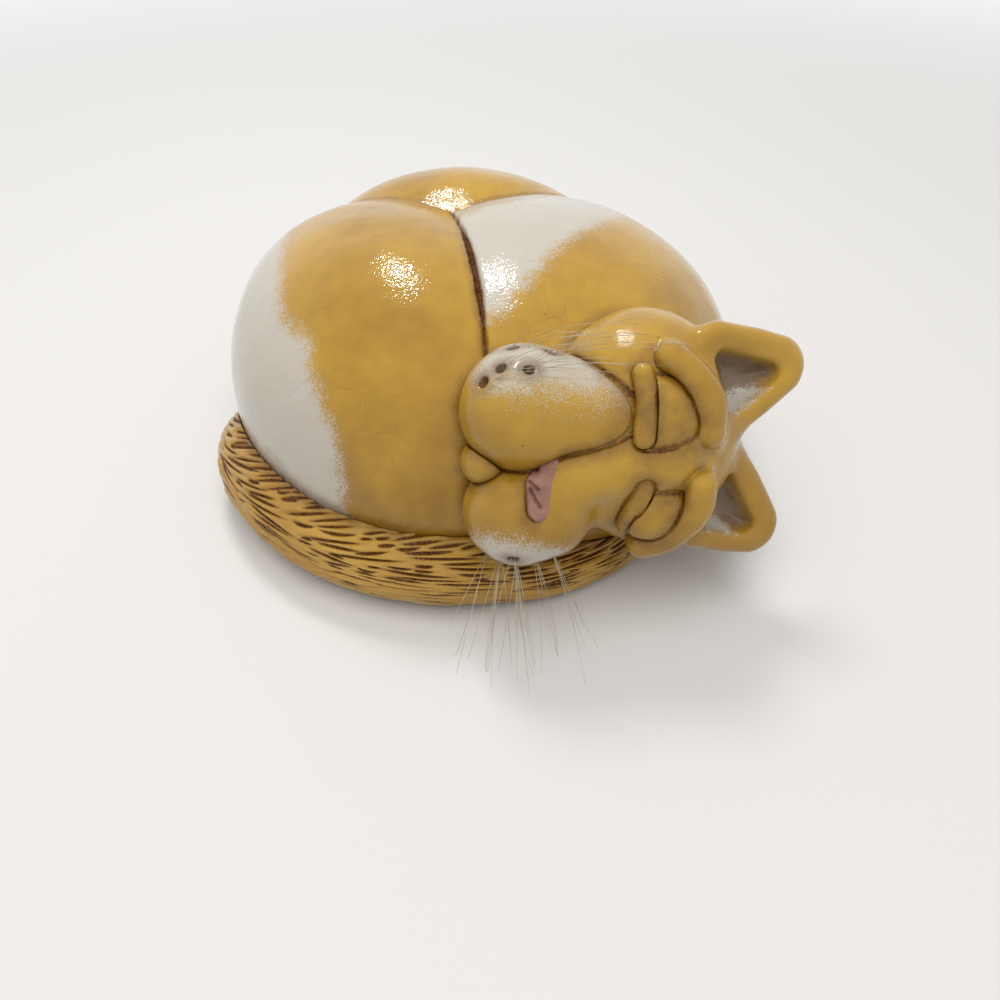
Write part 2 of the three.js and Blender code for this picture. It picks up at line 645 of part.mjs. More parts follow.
// Ears: dished triangles with a thick rounded rim, pointing along x in their own group
const earShape = {
  tip: EAR_LENGTH,
  root: -EAR_SINK,
  halfRoot: EAR_WIDTH / 2,
  thickness: EAR_THICKNESS,
  rounding: EAR_CORNER,
  dish: EAR_DISH,
};
const earField = roundedTriangle(earShape);
const earHeart = vec(EAR_LENGTH * 0.3, 0, 0);
const recessField = roundedTriangle({
  ...earShape,
  tip: EAR_LENGTH - EAR_RIM,
  root: EAR_RIM - EAR_SINK,
  halfRoot: EAR_WIDTH / 2 - EAR_RIM,
  thickness: 2 * EAR_RECESS_DEPTH,
  rounding: EAR_RECESS_CORNER,
});
const recessSkin = blob(recessField, vec(EAR_LENGTH * 0.25, 0, 0), 4);
recessSkin.translate(0, 0, EAR_THICKNESS / 2);

function ear(name, shares, pointing, facing) {
  const group = new THREE.Group();
  const x = pointing.clone().normalize();
  const y = facing.clone().cross(x).normalize();
  group.quaternion.setFromRotationMatrix(new THREE.Matrix4().makeBasis(x, y, x.clone().cross(y)));
  group.position.copy(shares).multiply(skullRadii).add(skullMiddle);
  head.add(group);
  group.updateMatrixWorld(true);
  const skin = (level) => blob(earField, earHeart, 5, level);
  addPiece(name, group, ginger, skin, solid(recessSkin, group));
}
ear('right_ear', vec(0.63, 0.455, 0.33), vec(1, 0.095, -0.17), vec(0.1, 0.1, 1));
ear('left_ear', vec(0.565, -0.54, 0.27), vec(1, -0.83, -0.14), vec(0.2, 0.1, 1));

export default cat;
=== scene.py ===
import math
from functools import partial

import bpy
import numpy as np
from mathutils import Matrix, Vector


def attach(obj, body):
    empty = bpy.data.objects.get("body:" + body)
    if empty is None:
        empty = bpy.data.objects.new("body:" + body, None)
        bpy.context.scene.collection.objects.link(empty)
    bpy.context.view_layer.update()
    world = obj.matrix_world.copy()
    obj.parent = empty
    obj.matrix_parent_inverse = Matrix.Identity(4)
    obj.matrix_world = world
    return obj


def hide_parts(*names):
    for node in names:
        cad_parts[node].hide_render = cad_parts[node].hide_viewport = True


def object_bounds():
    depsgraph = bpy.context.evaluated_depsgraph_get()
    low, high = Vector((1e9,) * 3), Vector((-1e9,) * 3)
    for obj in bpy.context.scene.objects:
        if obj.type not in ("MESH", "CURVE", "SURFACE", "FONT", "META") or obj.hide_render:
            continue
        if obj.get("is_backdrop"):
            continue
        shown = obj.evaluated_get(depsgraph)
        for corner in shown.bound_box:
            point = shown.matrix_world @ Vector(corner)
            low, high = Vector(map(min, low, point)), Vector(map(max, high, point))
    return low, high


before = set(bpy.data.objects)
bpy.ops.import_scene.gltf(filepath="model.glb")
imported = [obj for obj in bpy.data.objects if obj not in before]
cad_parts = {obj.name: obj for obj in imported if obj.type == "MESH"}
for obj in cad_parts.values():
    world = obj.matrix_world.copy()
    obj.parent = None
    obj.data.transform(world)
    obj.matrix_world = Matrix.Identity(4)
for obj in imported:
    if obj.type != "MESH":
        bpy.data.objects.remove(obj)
cad_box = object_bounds()
MM = 0.001
FINE = 1.0  # how much coarser the meshes are while trying things

# The gourd, as in the part
CLEARANCE = 0.3
LOBE_MIDDLE_HEIGHT = 28
BASE_LEVELLED = 8
CREASE_SOFTNESS = 2.5
HAUNCH = dict(azimuth=212, offset=19.5, reach=72, width=140, top=83)
SHOULDER = dict(azimuth=-15, offset=24, reach=88.5, width=138, top=82)
BACK = dict(azimuth=88, offset=30, reach=71, width=122, top=81)
GOURD_WALL = 5
PLUG_DIAMETER = 46

# The tail
TAIL_HEIGHT = 29
TAIL_THICKNESS = 29
TAIL_FLAT = 1
TAIL_TIP_DIAMETER = 9
TAIL_ROOT_DIAMETER = 17
TAIL_ROOT_AZIMUTH = 160
TAIL_TIP_AZIMUTH = 342
TAIL_PROUD = -6
TAIL_FORWARD = 4
TAIL_ROOT_TUCK = 14
TAIL_TIP_TUCK = 5
TAIL_FULL_FROM = 0.24
TAIL_THINS_FROM = 0.55

# The head's place on the gourd
HEAD_AZIMUTH = -50.8
HEAD_HEIGHT = 51.2
HEAD_PROUD = 2
HEAD_LEAN = 65
HEAD_TURN = 4
HEAD_ROLL = 3

# The head, in its own frame: x to the ears, y to the cat's right side, z out of the face
SKULL_RADII = np.array([26.0, 31.0, 24.0])
SKULL_SINK = 4
MUZZLE_REACH = 30
PAD_LEVEL = 7
EYELID_SEAT = 4
LOWER_LID_THICKNESS = 4.8
BROW_THICKNESS = 7.5
EAR_LENGTH = 26
EAR_WIDTH = 31
EAR_THICKNESS = 9
EAR_CORNER = 7
EAR_RECESS_DEPTH = 5
EAR_DISH = 2.5
EAR_SINK = 6


def vec(*numbers):
    return np.array(numbers, float)


def unit(rows):
    return rows / np.linalg.norm(rows, axis=-1, keepdims=True)


def lengths(rows):
    return np.linalg.norm(rows, axis=-1)


def smoothstep(x, low, high):
    t = np.clip((x - low) / (high - low), 0, 1)
    return t * t * (3 - 2 * t)


def blend(a, b, share):
    return a + (b - a) * share


def bell(x, width):
    """1 where x is 0, and nearly 0 from twice a width away"""
    return np.exp(-((x / width) ** 2))


def cos_sin(degrees):
    return math.cos(math.radians(degrees)), math.sin(math.radians(degrees))


def turned(axis, degrees):
    """Rotation about x, y or z, as a matrix whose columns are the turned axes"""
    c, s = cos_sin(degrees)
    u, v = (axis + 1) % 3, (axis + 2) % 3
    turn = np.eye(3)
    turn[u, u], turn[u, v], turn[v, u], turn[v, v] = c, -s, s, c
    return turn


X_AXIS, Z_AXIS = 0, 2
FAR = 400.0


# Distance fields: each takes points in rows and is negative inside its shape
def ellipsoid(centre, radii, turn=np.eye(3)):
    radii = np.asarray(radii, float)

    def field(p):
        q = (p - centre) @ turn / radii
        near = np.sqrt((q * q).sum(-1))
        slope = np.sqrt(((q / radii) ** 2).sum(-1))
        return np.where(near < 1e-5, -radii.min(), near * (near - 1) / np.maximum(slope, 1e-9))

    return field


def round_cone(a, b, radius_a, radius_b):
    length = np.linalg.norm(b - a)
    axis = (b - a) / length
    slope = (radius_a - radius_b) / length
    lean = math.sqrt(1 - slope * slope)

    def field(p):
        q = p - a
        along = q @ axis
        out = np.sqrt(np.maximum((q * q).sum(-1) - along**2, 0))
        foot = along * lean - out * slope
        side = out * lean + along * slope - radius_a
        round_a = np.sqrt((q * q).sum(-1)) - radius_a
        round_b = lengths(p - b) - radius_b
        return np.where(foot < 0, round_a, np.where(foot > length * lean, round_b, side))

    return field


def nearest_on(points, p):
    """Distance from each place to a line of points, how far aside of it and where along it"""
    best = np.full(len(p), FAR)
    aside = np.zeros(len(p))
    where = np.zeros(len(p))
    for i, (a, b) in enumerate(zip(points, points[1:])):
        line = b - a
        q = p - a
        share = np.clip(q @ line / (line @ line), 0, 1)
        d = lengths(q - share[:, None] * line)
        closer = d < best
        best = np.where(closer, d, best)
        side = (line[0] * q[:, 1] - line[1] * q[:, 0]) / math.hypot(line[0], line[1])
        aside = np.where(closer, side, aside)
        where = np.where(closer, (i + share) / (len(points) - 1), where)
    return best, aside, where


def roll(points, thickness):
    return lambda p: nearest_on(points, p)[0] - thickness / 2


def rounded_triangle(tip, root, half_root, thickness, rounding, dish=0.0, lean=0.0, bulge=0.0):
    """A flat triangle with rounded corners and edges that points along +x; lean moves its
    tip aside, dish brings its sides forward and bulge bows them out"""
    corner = vec(root + rounding, half_root - rounding)
    slant = vec(tip - rounding, 0) - corner
    edge = thickness / 2

    def field(p):
        y = np.abs(p[:, 1] - lean * p[:, 0])
        z = p[:, 2] - dish * (y / half_root) ** 2
        middle = (2 * p[:, 0] - tip - root) / (tip - root)
        y = y - bulge * np.clip(1 - middle**2, 0, 1) * smoothstep(y, 0, half_root / 2)
        qx, qy = p[:, 0] - corner[0], y - corner[1]
        share = np.clip((qx * slant[0] + qy * slant[1]) / (slant @ slant), 0, 1)
        to_slant = np.hypot(qx - share * slant[0], qy - share * slant[1])
        to_root = np.where(qy < 0, np.abs(qx), np.hypot(qx, qy))
        within = (qx > 0) & (slant[0] * qy - slant[1] * qx < 0)
        flat = np.where(within, -1, 1) * np.minimum(to_slant, to_root) - rounding + edge
        return np.hypot(np.maximum(flat, 0), z) - edge

    return field


def smooth_least(d, e, softness):
    h = np.maximum(softness - np.abs(d - e), 0) / softness
    return np.minimum(d, e) - h * h * softness / 4


def greatest(d, e, softness):
    return -smooth_least(-d, -e, softness)


def join(softness, *fields):
    def field(p):
        d = fields[0](p)
        for other in fields[1:]:
            d = smooth_least(d, other(p), softness)
        return d

    return field


def slope_of(field, p, reach=0.04):
    """Gradient from four places round each point"""
    corners = vec(1, -1, -1), vec(-1, -1, 1), vec(-1, 1, -1), vec(1, 1, 1)
    return sum(corner * field(p + reach * corner)[:, None] for corner in corners) / (4 * reach)


def lumps(p, size, seed):
    """Soft unevenness between about -1 and 1, whose bumps are about a given size"""
    draw = np.random.default_rng(seed)
    total = np.zeros(len(p))
    for _ in range(9):
        wave = unit(draw.normal(size=3)) * 2 * math.pi / (size * draw.uniform(1.4, 2.6))
        total += np.sin(p @ wave + draw.uniform(0, 2 * math.pi))
    return total / 4.5


def leaves(field, start, direction, longest, level=0.0):
    """Distances along rays, from places inside a field, to where it reaches a level"""
    low = np.zeros(len(direction))
    high = np.full(len(direction), float(longest))
    for _ in range(24):
        middle = (low + high) / 2
        inside = field(start + middle[:, None] * direction) < level
        low = np.where(inside, middle, low)
        high = np.where(inside, high, middle)
    return low


# Closed skins of fields that are not simple to sweep
BLOCK = 6


def sampled(field, low, counts, step):
    """The field on a grid, exact only in the blocks that its surface may cross"""
    blocks = counts // BLOCK
    corners = np.stack(np.meshgrid(*[np.arange(n) for n in blocks], indexing="ij"), -1)
    middles = low + (corners * BLOCK + (BLOCK - 1) / 2) * step
    rough = field(middles.reshape(-1, 3)).reshape(blocks)
    values = rough.repeat(BLOCK, 0).repeat(BLOCK, 1).repeat(BLOCK, 2)
    inner = np.stack(np.meshgrid(*[np.arange(BLOCK)] * 3, indexing="ij"), -1).reshape(-1, 3)
    near = np.argwhere(np.abs(rough) < 1.4 * BLOCK * step)
    places = (near[:, None, :] * BLOCK + inner).reshape(-1, 3)
    values[tuple(places.T)] = field(low + places * step)
    return values


def skin(field, low, high, step):
    """Closed skin of a field, as points on its surface and four-sided faces"""
    step = step * FINE
    low = np.asarray(low, float)
    counts = np.ceil((np.asarray(high) - low) / step / BLOCK).astype(int) * BLOCK
    values = sampled(field, low, counts, step)
    strides = np.array([counts[1] * counts[2], counts[2], 1])
    flat = values.ravel()
    cells, crossings = [], []
    for axis in range(3):
        near, far = [slice(None)] * 3, [slice(None)] * 3
        near[axis], far[axis] = slice(0, -1), slice(1, None)
        at = np.argwhere((values[tuple(near)] < 0) != (values[tuple(far)] < 0))
        start = at @ strides
        a, b = flat[start], flat[start + strides[axis]]
        point = at.astype(float)
        point[:, axis] += a / (a - b)
        u, v = strides[(axis + 1) % 3], strides[(axis + 2) % 3]
        around = start[:, None] - np.array([0, u, u + v, v])
        cells.append(np.where((a < 0)[:, None], around, around[:, ::-1]))
        crossings.append(point)
    cells, crossings = np.concatenate(cells), np.concatenate(crossings)
    used, faces = np.unique(cells, return_inverse=True)
    faces = faces.reshape(cells.shape)
    hits = np.bincount(faces.ravel(), minlength=len(used))
    corners = crossings.repeat(4, 0)
    middle = [np.bincount(faces.ravel(), corners[:, k]) / hits for k in range(3)]
    points = low + np.stack(middle, -1) * step
    for _ in range(2):
        slope = slope_of(field, points)
        steepness = np.maximum((slope * slope).sum(-1), 0.25)
        move = -slope * (field(points) / steepness)[:, None]
        length = np.linalg.norm(move, axis=-1, keepdims=True)
        points = points + move * np.minimum(1, 0.7 * step / np.maximum(length, 1e-9))
    return points, faces


# Gourd
def lobe(azimuth, offset, reach, width, top):
    turn = turned(Z_AXIS, azimuth)
    centre = turn @ vec(offset, 0, 0) + vec(0, 0, LOBE_MIDDLE_HEIGHT)
    half = vec(reach - offset, width / 2, top - LOBE_MIDDLE_HEIGHT)
    above = ellipsoid(centre, half, turn)
    below = ellipsoid(centre, vec(half[0], half[1], LOBE_MIDDLE_HEIGHT + BASE_LEVELLED), turn)
    return lambda p: np.where(p[:, 2] > LOBE_MIDDLE_HEIGHT, above(p), below(p))


haunch, shoulder, back = lobe(**HAUNCH), lobe(**SHOULDER), lobe(**BACK)
gourd = join(CREASE_SOFTNESS, haunch, shoulder, back)
gourd_heart = vec(0, 0, LOBE_MIDDLE_HEIGHT)
PAST_GOURD = 160  # further than the gourd reaches from its heart


def gourd_depth(out, level=0.0):
    """How far the gourd's skin, or a level inside it, is from its heart"""
    return leaves(gourd, gourd_heart, out, PAST_GOURD, level)


def gourd_radius(azimuth, height):
    azimuth = np.atleast_1d(azimuth)
    out = np.stack([np.cos(azimuth), np.sin(azimuth), np.zeros(len(azimuth))], -1)
    return leaves(gourd, vec(0, 0, height), out, PAST_GOURD)


# Head frame in the figurine's own
head_out = turned(Z_AXIS, HEAD_AZIMUTH) @ vec(1, 0, 0)
head_turn = turned(Z_AXIS, HEAD_TURN) @ turned(X_AXIS, HEAD_LEAN) @ turned(Z_AXIS, HEAD_ROLL)
head_place = head_out * (gourd_radius(math.radians(HEAD_AZIMUTH), HEAD_HEIGHT)[0] + HEAD_PROUD)
head_place[2] = HEAD_HEIGHT


def from_head(p):
    return head_place + p @ head_turn.T


def to_head(p):
    return (p - head_place) @ head_turn


# Tail
def tail_thin(t):
    at_root = blend(TAIL_ROOT_DIAMETER / TAIL_HEIGHT, 1, smoothstep(t, 0, TAIL_FULL_FROM))
    return at_root * blend(1, TAIL_TIP_DIAMETER / TAIL_HEIGHT, smoothstep(t, TAIL_THINS_FROM, 1))


def tail_azimuth(t):
    return np.radians(blend(TAIL_ROOT_AZIMUTH, TAIL_TIP_AZIMUTH, t))


tail_seat = gourd_radius(tail_azimuth(np.linspace(0, 1, 25)), TAIL_HEIGHT / 2).mean()
tail_outer = tail_seat + TAIL_PROUD + TAIL_THICKNESS / 2


def tail_out(t):
    root_tuck = TAIL_ROOT_TUCK * (1 - smoothstep(t, 0, TAIL_FULL_FROM))
    tip_tuck = TAIL_TIP_TUCK * smoothstep(t, (1 + TAIL_THINS_FROM) / 2, 1)
    return tail_outer - root_tuck - tip_tuck - TAIL_THICKNESS / 2 * tail_thin(t)


def tail(p):
    azimuth = np.degrees(np.arctan2(p[:, 1] + TAIL_FORWARD, p[:, 0]))
    azimuth = np.where(azimuth < TAIL_ROOT_AZIMUTH - 180, azimuth + 360, azimuth)
    t = np.clip((azimuth - TAIL_ROOT_AZIMUTH) / (TAIL_TIP_AZIMUTH - TAIL_ROOT_AZIMUTH), 0, 1)
    radius = TAIL_HEIGHT / 2 * tail_thin(t)
    out = np.hypot(p[:, 0], p[:, 1] + TAIL_FORWARD) - tail_out(t)
    return np.hypot(out, p[:, 2] - radius + TAIL_FLAT) - radius


# Head's pieces, in the head's own frame
def through(places, count=17):
    """Points along a smooth curve through a few places"""
    places = np.asarray(places, float)
    ends = np.concatenate([2 * places[:1] - places[1:2], places, 2 * places[-1:] - places[-2:-1]])
    t = np.linspace(0, len(places) - 1, count)
    i = np.minimum(t.astype(int), len(places) - 2)
    t = (t - i)[:, None]
    a, b, c, d = (ends[i + k] for k in range(4))
    bend = (2 * a - 5 * b + 4 * c - d) * t * t + (3 * b - a - 3 * c + d) * t**3
    return b + 0.5 * ((c - a) * t + bend)


def on_face(share_x, share_y, proud):
    rise = SKULL_RADII[2] * math.sqrt(1 - share_x**2 - share_y**2)
    return vec(share_x * SKULL_RADII[0], share_y * SKULL_RADII[1], rise - SKULL_SINK + proud)


def face_line(places, proud):
    return through([on_face(x, y, proud) for x, y in places])


skull = ellipsoid(vec(0, 0, -SKULL_SINK), SKULL_RADII)
bridge = round_cone(vec(-21, -5.6, 12.5), vec(4, -3.4, 15), radius_a=8.4, radius_b=6)
left_pad_heart = vec(-MUZZLE_REACH - 4.7, -16.2, PAD_LEVEL)
left_pad_end = left_pad_heart + vec(6, 0, 0)
left_pad = round_cone(left_pad_heart, left_pad_end, radius_a=14.25, radius_b=13.25)
right_pad_heart = vec(-MUZZLE_REACH - 1.1, 9.7, PAD_LEVEL - 1.2)
right_pad_end = right_pad_heart + vec(24, -3.4, 3.6)
right_pad = round_cone(right_pad_heart, right_pad_end, radius_a=16.4, radius_b=9.8)
chin_heart = vec(-MUZZLE_REACH - 12, -2.2, PAD_LEVEL)
chin_ball = ellipsoid(chin_heart, vec(6.25, 6.25, 8.25))

SIDES = "right", "left"
LOWER_LIDS = {
    "right": [(-0.13, 0.58), (-0.125, 0.36), (-0.17, 0.1)],
    "left": [(-0.16, -0.3), (-0.235, -0.47), (-0.31, -0.68)],
}
LOWER_ROLLS = {
    "right": roll(face_line(LOWER_LIDS["right"], 1.2), LOWER_LID_THICKNESS + 0.3),
    "left": roll(face_line(LOWER_LIDS["left"], 0.1), LOWER_LID_THICKNESS + 0.4),
}


def eyelid_dome(side, width, length, height, share_x, share_y, turn):
    """An upper lid: half of a flat egg, whose straight side lies along the lower lid"""
    radii = vec(width / 2, length / 2, height)
    egg = ellipsoid(on_face(share_x, share_y, -EYELID_SEAT), radii, turned(Z_AXIS, turn))
    first, _, last = [on_face(*place, 0) for place in LOWER_LIDS[side]]
    ahead = unit(np.cross((first - last) * vec(1, 1, 0), vec(0, 0, 1)))
    return lambda p: np.maximum(egg(p), (first - p) @ ahead)


EYELID_DOMES = {
    "right": eyelid_dome("right", 22.5, 22, 6.6, share_x=0, share_y=0.2, turn=12),
    "left": eyelid_dome("left", 21, 20, 6.5, share_x=-0.05, share_y=-0.5, turn=-14),
}

RIGHT_BROW = [(0.15, 0.67), (0.25, 0.6), (0.34, 0.5), (0.43, 0.36), (0.47, 0.22), (0.46, 0.08)]
LEFT_BROW = [(0.375, -0.33), (0.37, -0.41), (0.35, -0.52), (0.25, -0.66), (0.07, -0.8), (-0.12, -0.88)]
BROW_LINES = {"right": face_line(RIGHT_BROW, 1.5), "left": face_line(LEFT_BROW, 1.9)}
BROW_LINES["right"][:, 2] -= 2.5 * smoothstep(np.linspace(0, 1, len(BROW_LINES["right"])), 0.6, 1)

# Nose: a patch with the outline of a rounded triangle, laid on the end of the bridge with
# its tip to the mouth, and an awl's dent and two slits pressed into it
NOSE_NORMAL = unit(vec(-0.45, 0.28, 0.85))
NOSE_TIP_WAY = unit(np.cross(NOSE_NORMAL, vec(0.27, 0.95, -0.17)))
NOSE_FRAME = np.stack([NOSE_TIP_WAY, np.cross(NOSE_TIP_WAY, NOSE_NORMAL), NOSE_NORMAL], -1)
nose_middle = vec(-28.8, -6.7, 18.3)
nose_outline = rounded_triangle(
    tip=4.4, root=-2.7, half_root=8.3, thickness=16, rounding=2.6, lean=0.15, bulge=0.6
)
NOSE_PROUD = 0.6
NOSTRIL = vec(2.9, 3.5)
NOSTRIL_DEPTH = 1.1
SLIT_DEPTH = 0.5
SLIT_HALF_WIDTH = 0.3
NOSE_SLITS = [(vec(3.4, 0.5, 0), vec(0.6, -1.1, 0)), (vec(2.7, -1.1, 0), vec(-0.7, -5.3, 0))]


def in_nose(p):
    return (p - nose_middle) @ NOSE_FRAME


def nostril(q):
    """1 in the middle of the nostril, falling to 0 round it"""
    return np.exp(-(((q[:, :2] - NOSTRIL) / vec(1.3, 1.0)) ** 2).sum(-1))


def nose_slit(q):
    return np.min([nearest_on(slit, q * vec(1, 1, 0))[0] for slit in NOSE_SLITS], 0)


def nose_edge(q):
    """1 at the mouth's side of the nose, whose edge is modelled, and 0 where it is only painted"""
    return smoothstep(q[:, 0] - 0.15 * q[:, 1], -1.5, 1.5)


def nose(p):
    q = in_nose(p)
    proud = NOSE_PROUD * blend(0.3, 1, nose_edge(q))
    pressed_in = NOSTRIL_DEPTH * nostril(q) + SLIT_DEPTH * bell(nose_slit(q), SLIT_HALF_WIDTH)
    return greatest(nose_outline(q), clay(p) - proud + pressed_in, softness=0.8)


# Ears: dished triangles in frames of their own, each with a hollow
def ear_frame(shares, pointing, facing):
    x = unit(pointing)
    y = unit(np.cross(facing, x))
    place = shares * SKULL_RADII - vec(0, 0, SKULL_SINK)
    return place, np.stack([x, y, np.cross(x, y)], -1)


EAR_FRAMES = {
    "right": ear_frame(vec(0.63, 0.42, 0.33), vec(1, 0.095, -0.17), vec(0.1, 0.1, 1)),
    "left": ear_frame(vec(0.565, -0.54, 0.27), vec(1, -0.83, -0.14), vec(0.2, 0.1, 1)),
}
EAR_HOLLOW_MIDDLE = vec(0, -1.6, EAR_THICKNESS / 2)
EAR_HOLLOW_HALF_ROOT = 7.6
ear_blade_shape = dict(tip=EAR_LENGTH - 0.7, root=-EAR_SINK, half_root=EAR_WIDTH / 2 - 1.8)
ear_hollow_shape = dict(tip=16.6, root=0, half_root=EAR_HOLLOW_HALF_ROOT, rounding=2.2)
ear_outline = rounded_triangle(
    **ear_blade_shape, thickness=EAR_THICKNESS, rounding=EAR_CORNER, dish=EAR_DISH, bulge=1.2
)
ear_hollow = rounded_triangle(
    **ear_hollow_shape, thickness=2 * EAR_RECESS_DEPTH + 2, dish=1, bulge=0.5
)


def ear_blade(q):
    return ear_outline(q + vec(0, 0.8, 0))


def in_ear(side, p):
    place, turn = EAR_FRAMES[side]
    return (p - place) @ turn


def brow_radius(along):
    """Half a brow's thickness, a little less at the end where its line starts"""
    return BROW_THICKNESS / 2 + blend(0.1, 0.8, smoothstep(along, 0, 0.6))


def clay(p):
    """Skull, bridge, left pad, ears and brows, as the maker smoothed them into each other. A
    brow meets the clay sharply on the eye's side and smoothly on its outer side"""
    d = smooth_least(skull(p), bridge(p), 5)
    d = smooth_least(d, left_pad(p), 7)
    for side in SIDES:
        q = in_ear(side, p)
        d = smooth_least(d, ear_blade(q), 3.5)
        d = greatest(d, -ear_hollow(q - EAR_HOLLOW_MIDDLE), 2.0)
    for side in SIDES:
        near, aside, along = nearest_on(BROW_LINES[side], p)
        softness = blend(0.4, 4, smoothstep(aside, -0.5, 3.5))
        d = smooth_least(d, near - brow_radius(along), softness)
    return d


def pressed(field, *neighbours, width=0.5, depth=0.4):
    """Round a piece's edge away where it meets its neighbours, and keep it out of them"""

    def made(p):
        d = field(p)
        for other in neighbours:
            e = other(p)
            d = np.maximum(d, -e + 0.1) + depth * bell(e, width)
        return d

    return made


def uneven(field, height, size, seed):
    """The slight lumps that hands leave in clay"""
    return lambda p: field(p) + height * lumps(p, size, seed)


# Whisker holes in the pads, and the directions that they were drilled in
RIGHT_HOLES = [
    vec(-10.7, 10, 9.1), vec(-5.8, 13.1, 9.4), vec(0.9, 12.2, 11.5),
    vec(-1.8, 16.4, 2.3), vec(7, 13.9, 3.3),
]
LEFT_HOLES = [
    vec(-9, -8.5, 3), vec(-5.5, -10.5, 3), vec(-2.5, -8.5, 8.6),
    vec(-1.5, -11.5, 3), vec(3, -11, 4), vec(7, -9.5, 4),
]
HOLE_DIAMETER = 2.2
HOLE_DEPTH = 3.5
HOLE_DENT_RADIUS = 2.0
HOLE_DENT_DEPTH = 0.6


def mouths(field, heart, holes):
    """Where each hole opens on its pad, and its direction out"""
    out = unit(np.array(holes))
    return heart + out * leaves(field, heart, out, 40)[:, None], out


MOUTHS = {
    "right": mouths(right_pad, right_pad_heart, RIGHT_HOLES),
    "left": mouths(left_pad, left_pad_heart, LEFT_HOLES),
}


def drilled(field, side):
    """Each hole with the soft dent that the awl left round it"""

    def made(p):
        d = field(p)
        for mouth, out in zip(*MOUTHS[side]):
            near, _, _ = nearest_on([mouth - HOLE_DEPTH * out, mouth + 2 * out], p)
            d = np.maximum(d, HOLE_DIAMETER / 2 - near)
            d = d + HOLE_DENT_DEPTH * bell(near, HOLE_DENT_RADIUS)
        return d

    return made


# Meshes. The paint reads six values in mm on each point: how far it is from a groove, how
# far inside the white, the ear's lip, the worn place and a carved stroke, and how far
# outside the ear's hollow
PAINTED_PLACES = "groove", "white", "hollow", "lip", "worn", "carved"


def make_piece(name, points, faces, material, slot, replaced, **per_point):
    """A finished piece in metres, with its painted places stored on its points"""
    mesh = bpy.data.meshes.new(name)
    faces = faces if isinstance(faces, list) else faces.tolist()
    mesh.from_pydata((points * MM).tolist(), [], faces)
    for key in PAINTED_PLACES:
        values = per_point.get(key, FAR if key in ("groove", "hollow") else -FAR)
        layer = mesh.attributes.new(key, "FLOAT", "POINT")
        layer.data.foreach_set("value", np.broadcast_to(values, len(points)).astype(np.float32))
    mesh.shade_smooth()
    mesh.materials.append(material)
    piece = bpy.data.objects.new(name, mesh)
    bpy.context.scene.collection.objects.link(piece)
    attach(piece, "root")
    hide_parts(*replaced)


def ring_faces(rings, sides):
    """Four-sided faces between rings of points, each ring joined round"""
    i, k = np.meshgrid(np.arange(rings - 1), np.arange(sides), indexing="ij")
    after = (k + 1) % sides
    corners = i * sides + k, i * sides + after, (i + 1) * sides + after, (i + 1) * sides + k
    return np.stack(corners, -1).reshape(-1, 4)


def with_ends(points, sides, first, last):
    """Faces of a stack of rings, closed by a point below and a point above"""
    rings = len(points) // sides
    faces = ring_faces(rings, sides).tolist()
    low, top = len(points), len(points) + 1
    start = (rings - 1) * sides
    faces += [[(k + 1) % sides, k, low] for k in range(sides)]
    faces += [[start + k, start + (k + 1) % sides, top] for k in range(sides)]
    return np.concatenate([points, [first, last]]), faces


# Gourd: rings from its top down to its levelled base, up through the plug's hole and back
# inside its wall
CREASE_AZIMUTH = 282
CREASE_WIDTH = 1.1
CREASE_DEPTH = 1.5
CREASE_HALF_WIDTH = 0.95
SIDE_CREASE_DEPTH = 0.4
GOURD_SEGMENTS = 430
GOURD_RINGS = 190
BASE_RINGS = 8
INSIDE_RINGS = 25


def crowded(count, middle, width, extra):
    """Angles round a turn, closer together near one of them"""
    angle = np.linspace(0, 360, 3601)
    gap = (angle - middle + 180) % 360 - 180
    density = 1 + extra * bell(gap, width)
    total = np.concatenate([[0], np.cumsum((density[1:] + density[:-1]) / 2)])
    return np.radians(np.interp(np.arange(count) / count * total[-1], total, angle))


def crease(p):
    """Distance to the nearest crease between lobes, and whether it is the cat's front one"""
    lobes = haunch, shoulder, back
    values = np.stack([field(p) for field in lobes])
    slopes = np.stack([slope_of(field, p) for field in lobes])
    order = np.argsort(values, 0)
    rows = np.arange(len(p))
    first, second = order[0], order[1]
    gap = values[second, rows] - values[first, rows]
    steepness = lengths(slopes[second, rows] - slopes[first, rows])
    return gap / np.maximum(steepness, 0.1), first + second == 1


def front_crease_width(p):
    """Half the width of the stained front crease: a hairline on top, wide where the head's
    pad looks at it and narrow again under the pad"""
    forward = -p[:, 1]
    opened = blend(0.4, 1, smoothstep(forward, 0, 20)) - 0.55 * smoothstep(forward, 36, 48)
    return CREASE_HALF_WIDTH * opened


def rays(polar, azimuth):
    flat = np.sin(polar)
    return np.stack([flat * np.cos(azimuth), flat * np.sin(azimuth), np.cos(polar)], -1)


def base_edge(azimuth):
    """Angle down from straight up at which the gourd's skin meets the resting plane"""
    low, high = np.full(len(azimuth), math.pi / 2), np.full(len(azimuth), 2.6)
    for _ in range(16):
        middle = (low + high) / 2
        out = rays(middle, azimuth)
        above = LOBE_MIDDLE_HEIGHT + gourd_depth(out) * out[:, 2] > 0
        low = np.where(above, middle, low)
        high = np.where(above, high, middle)
    return low


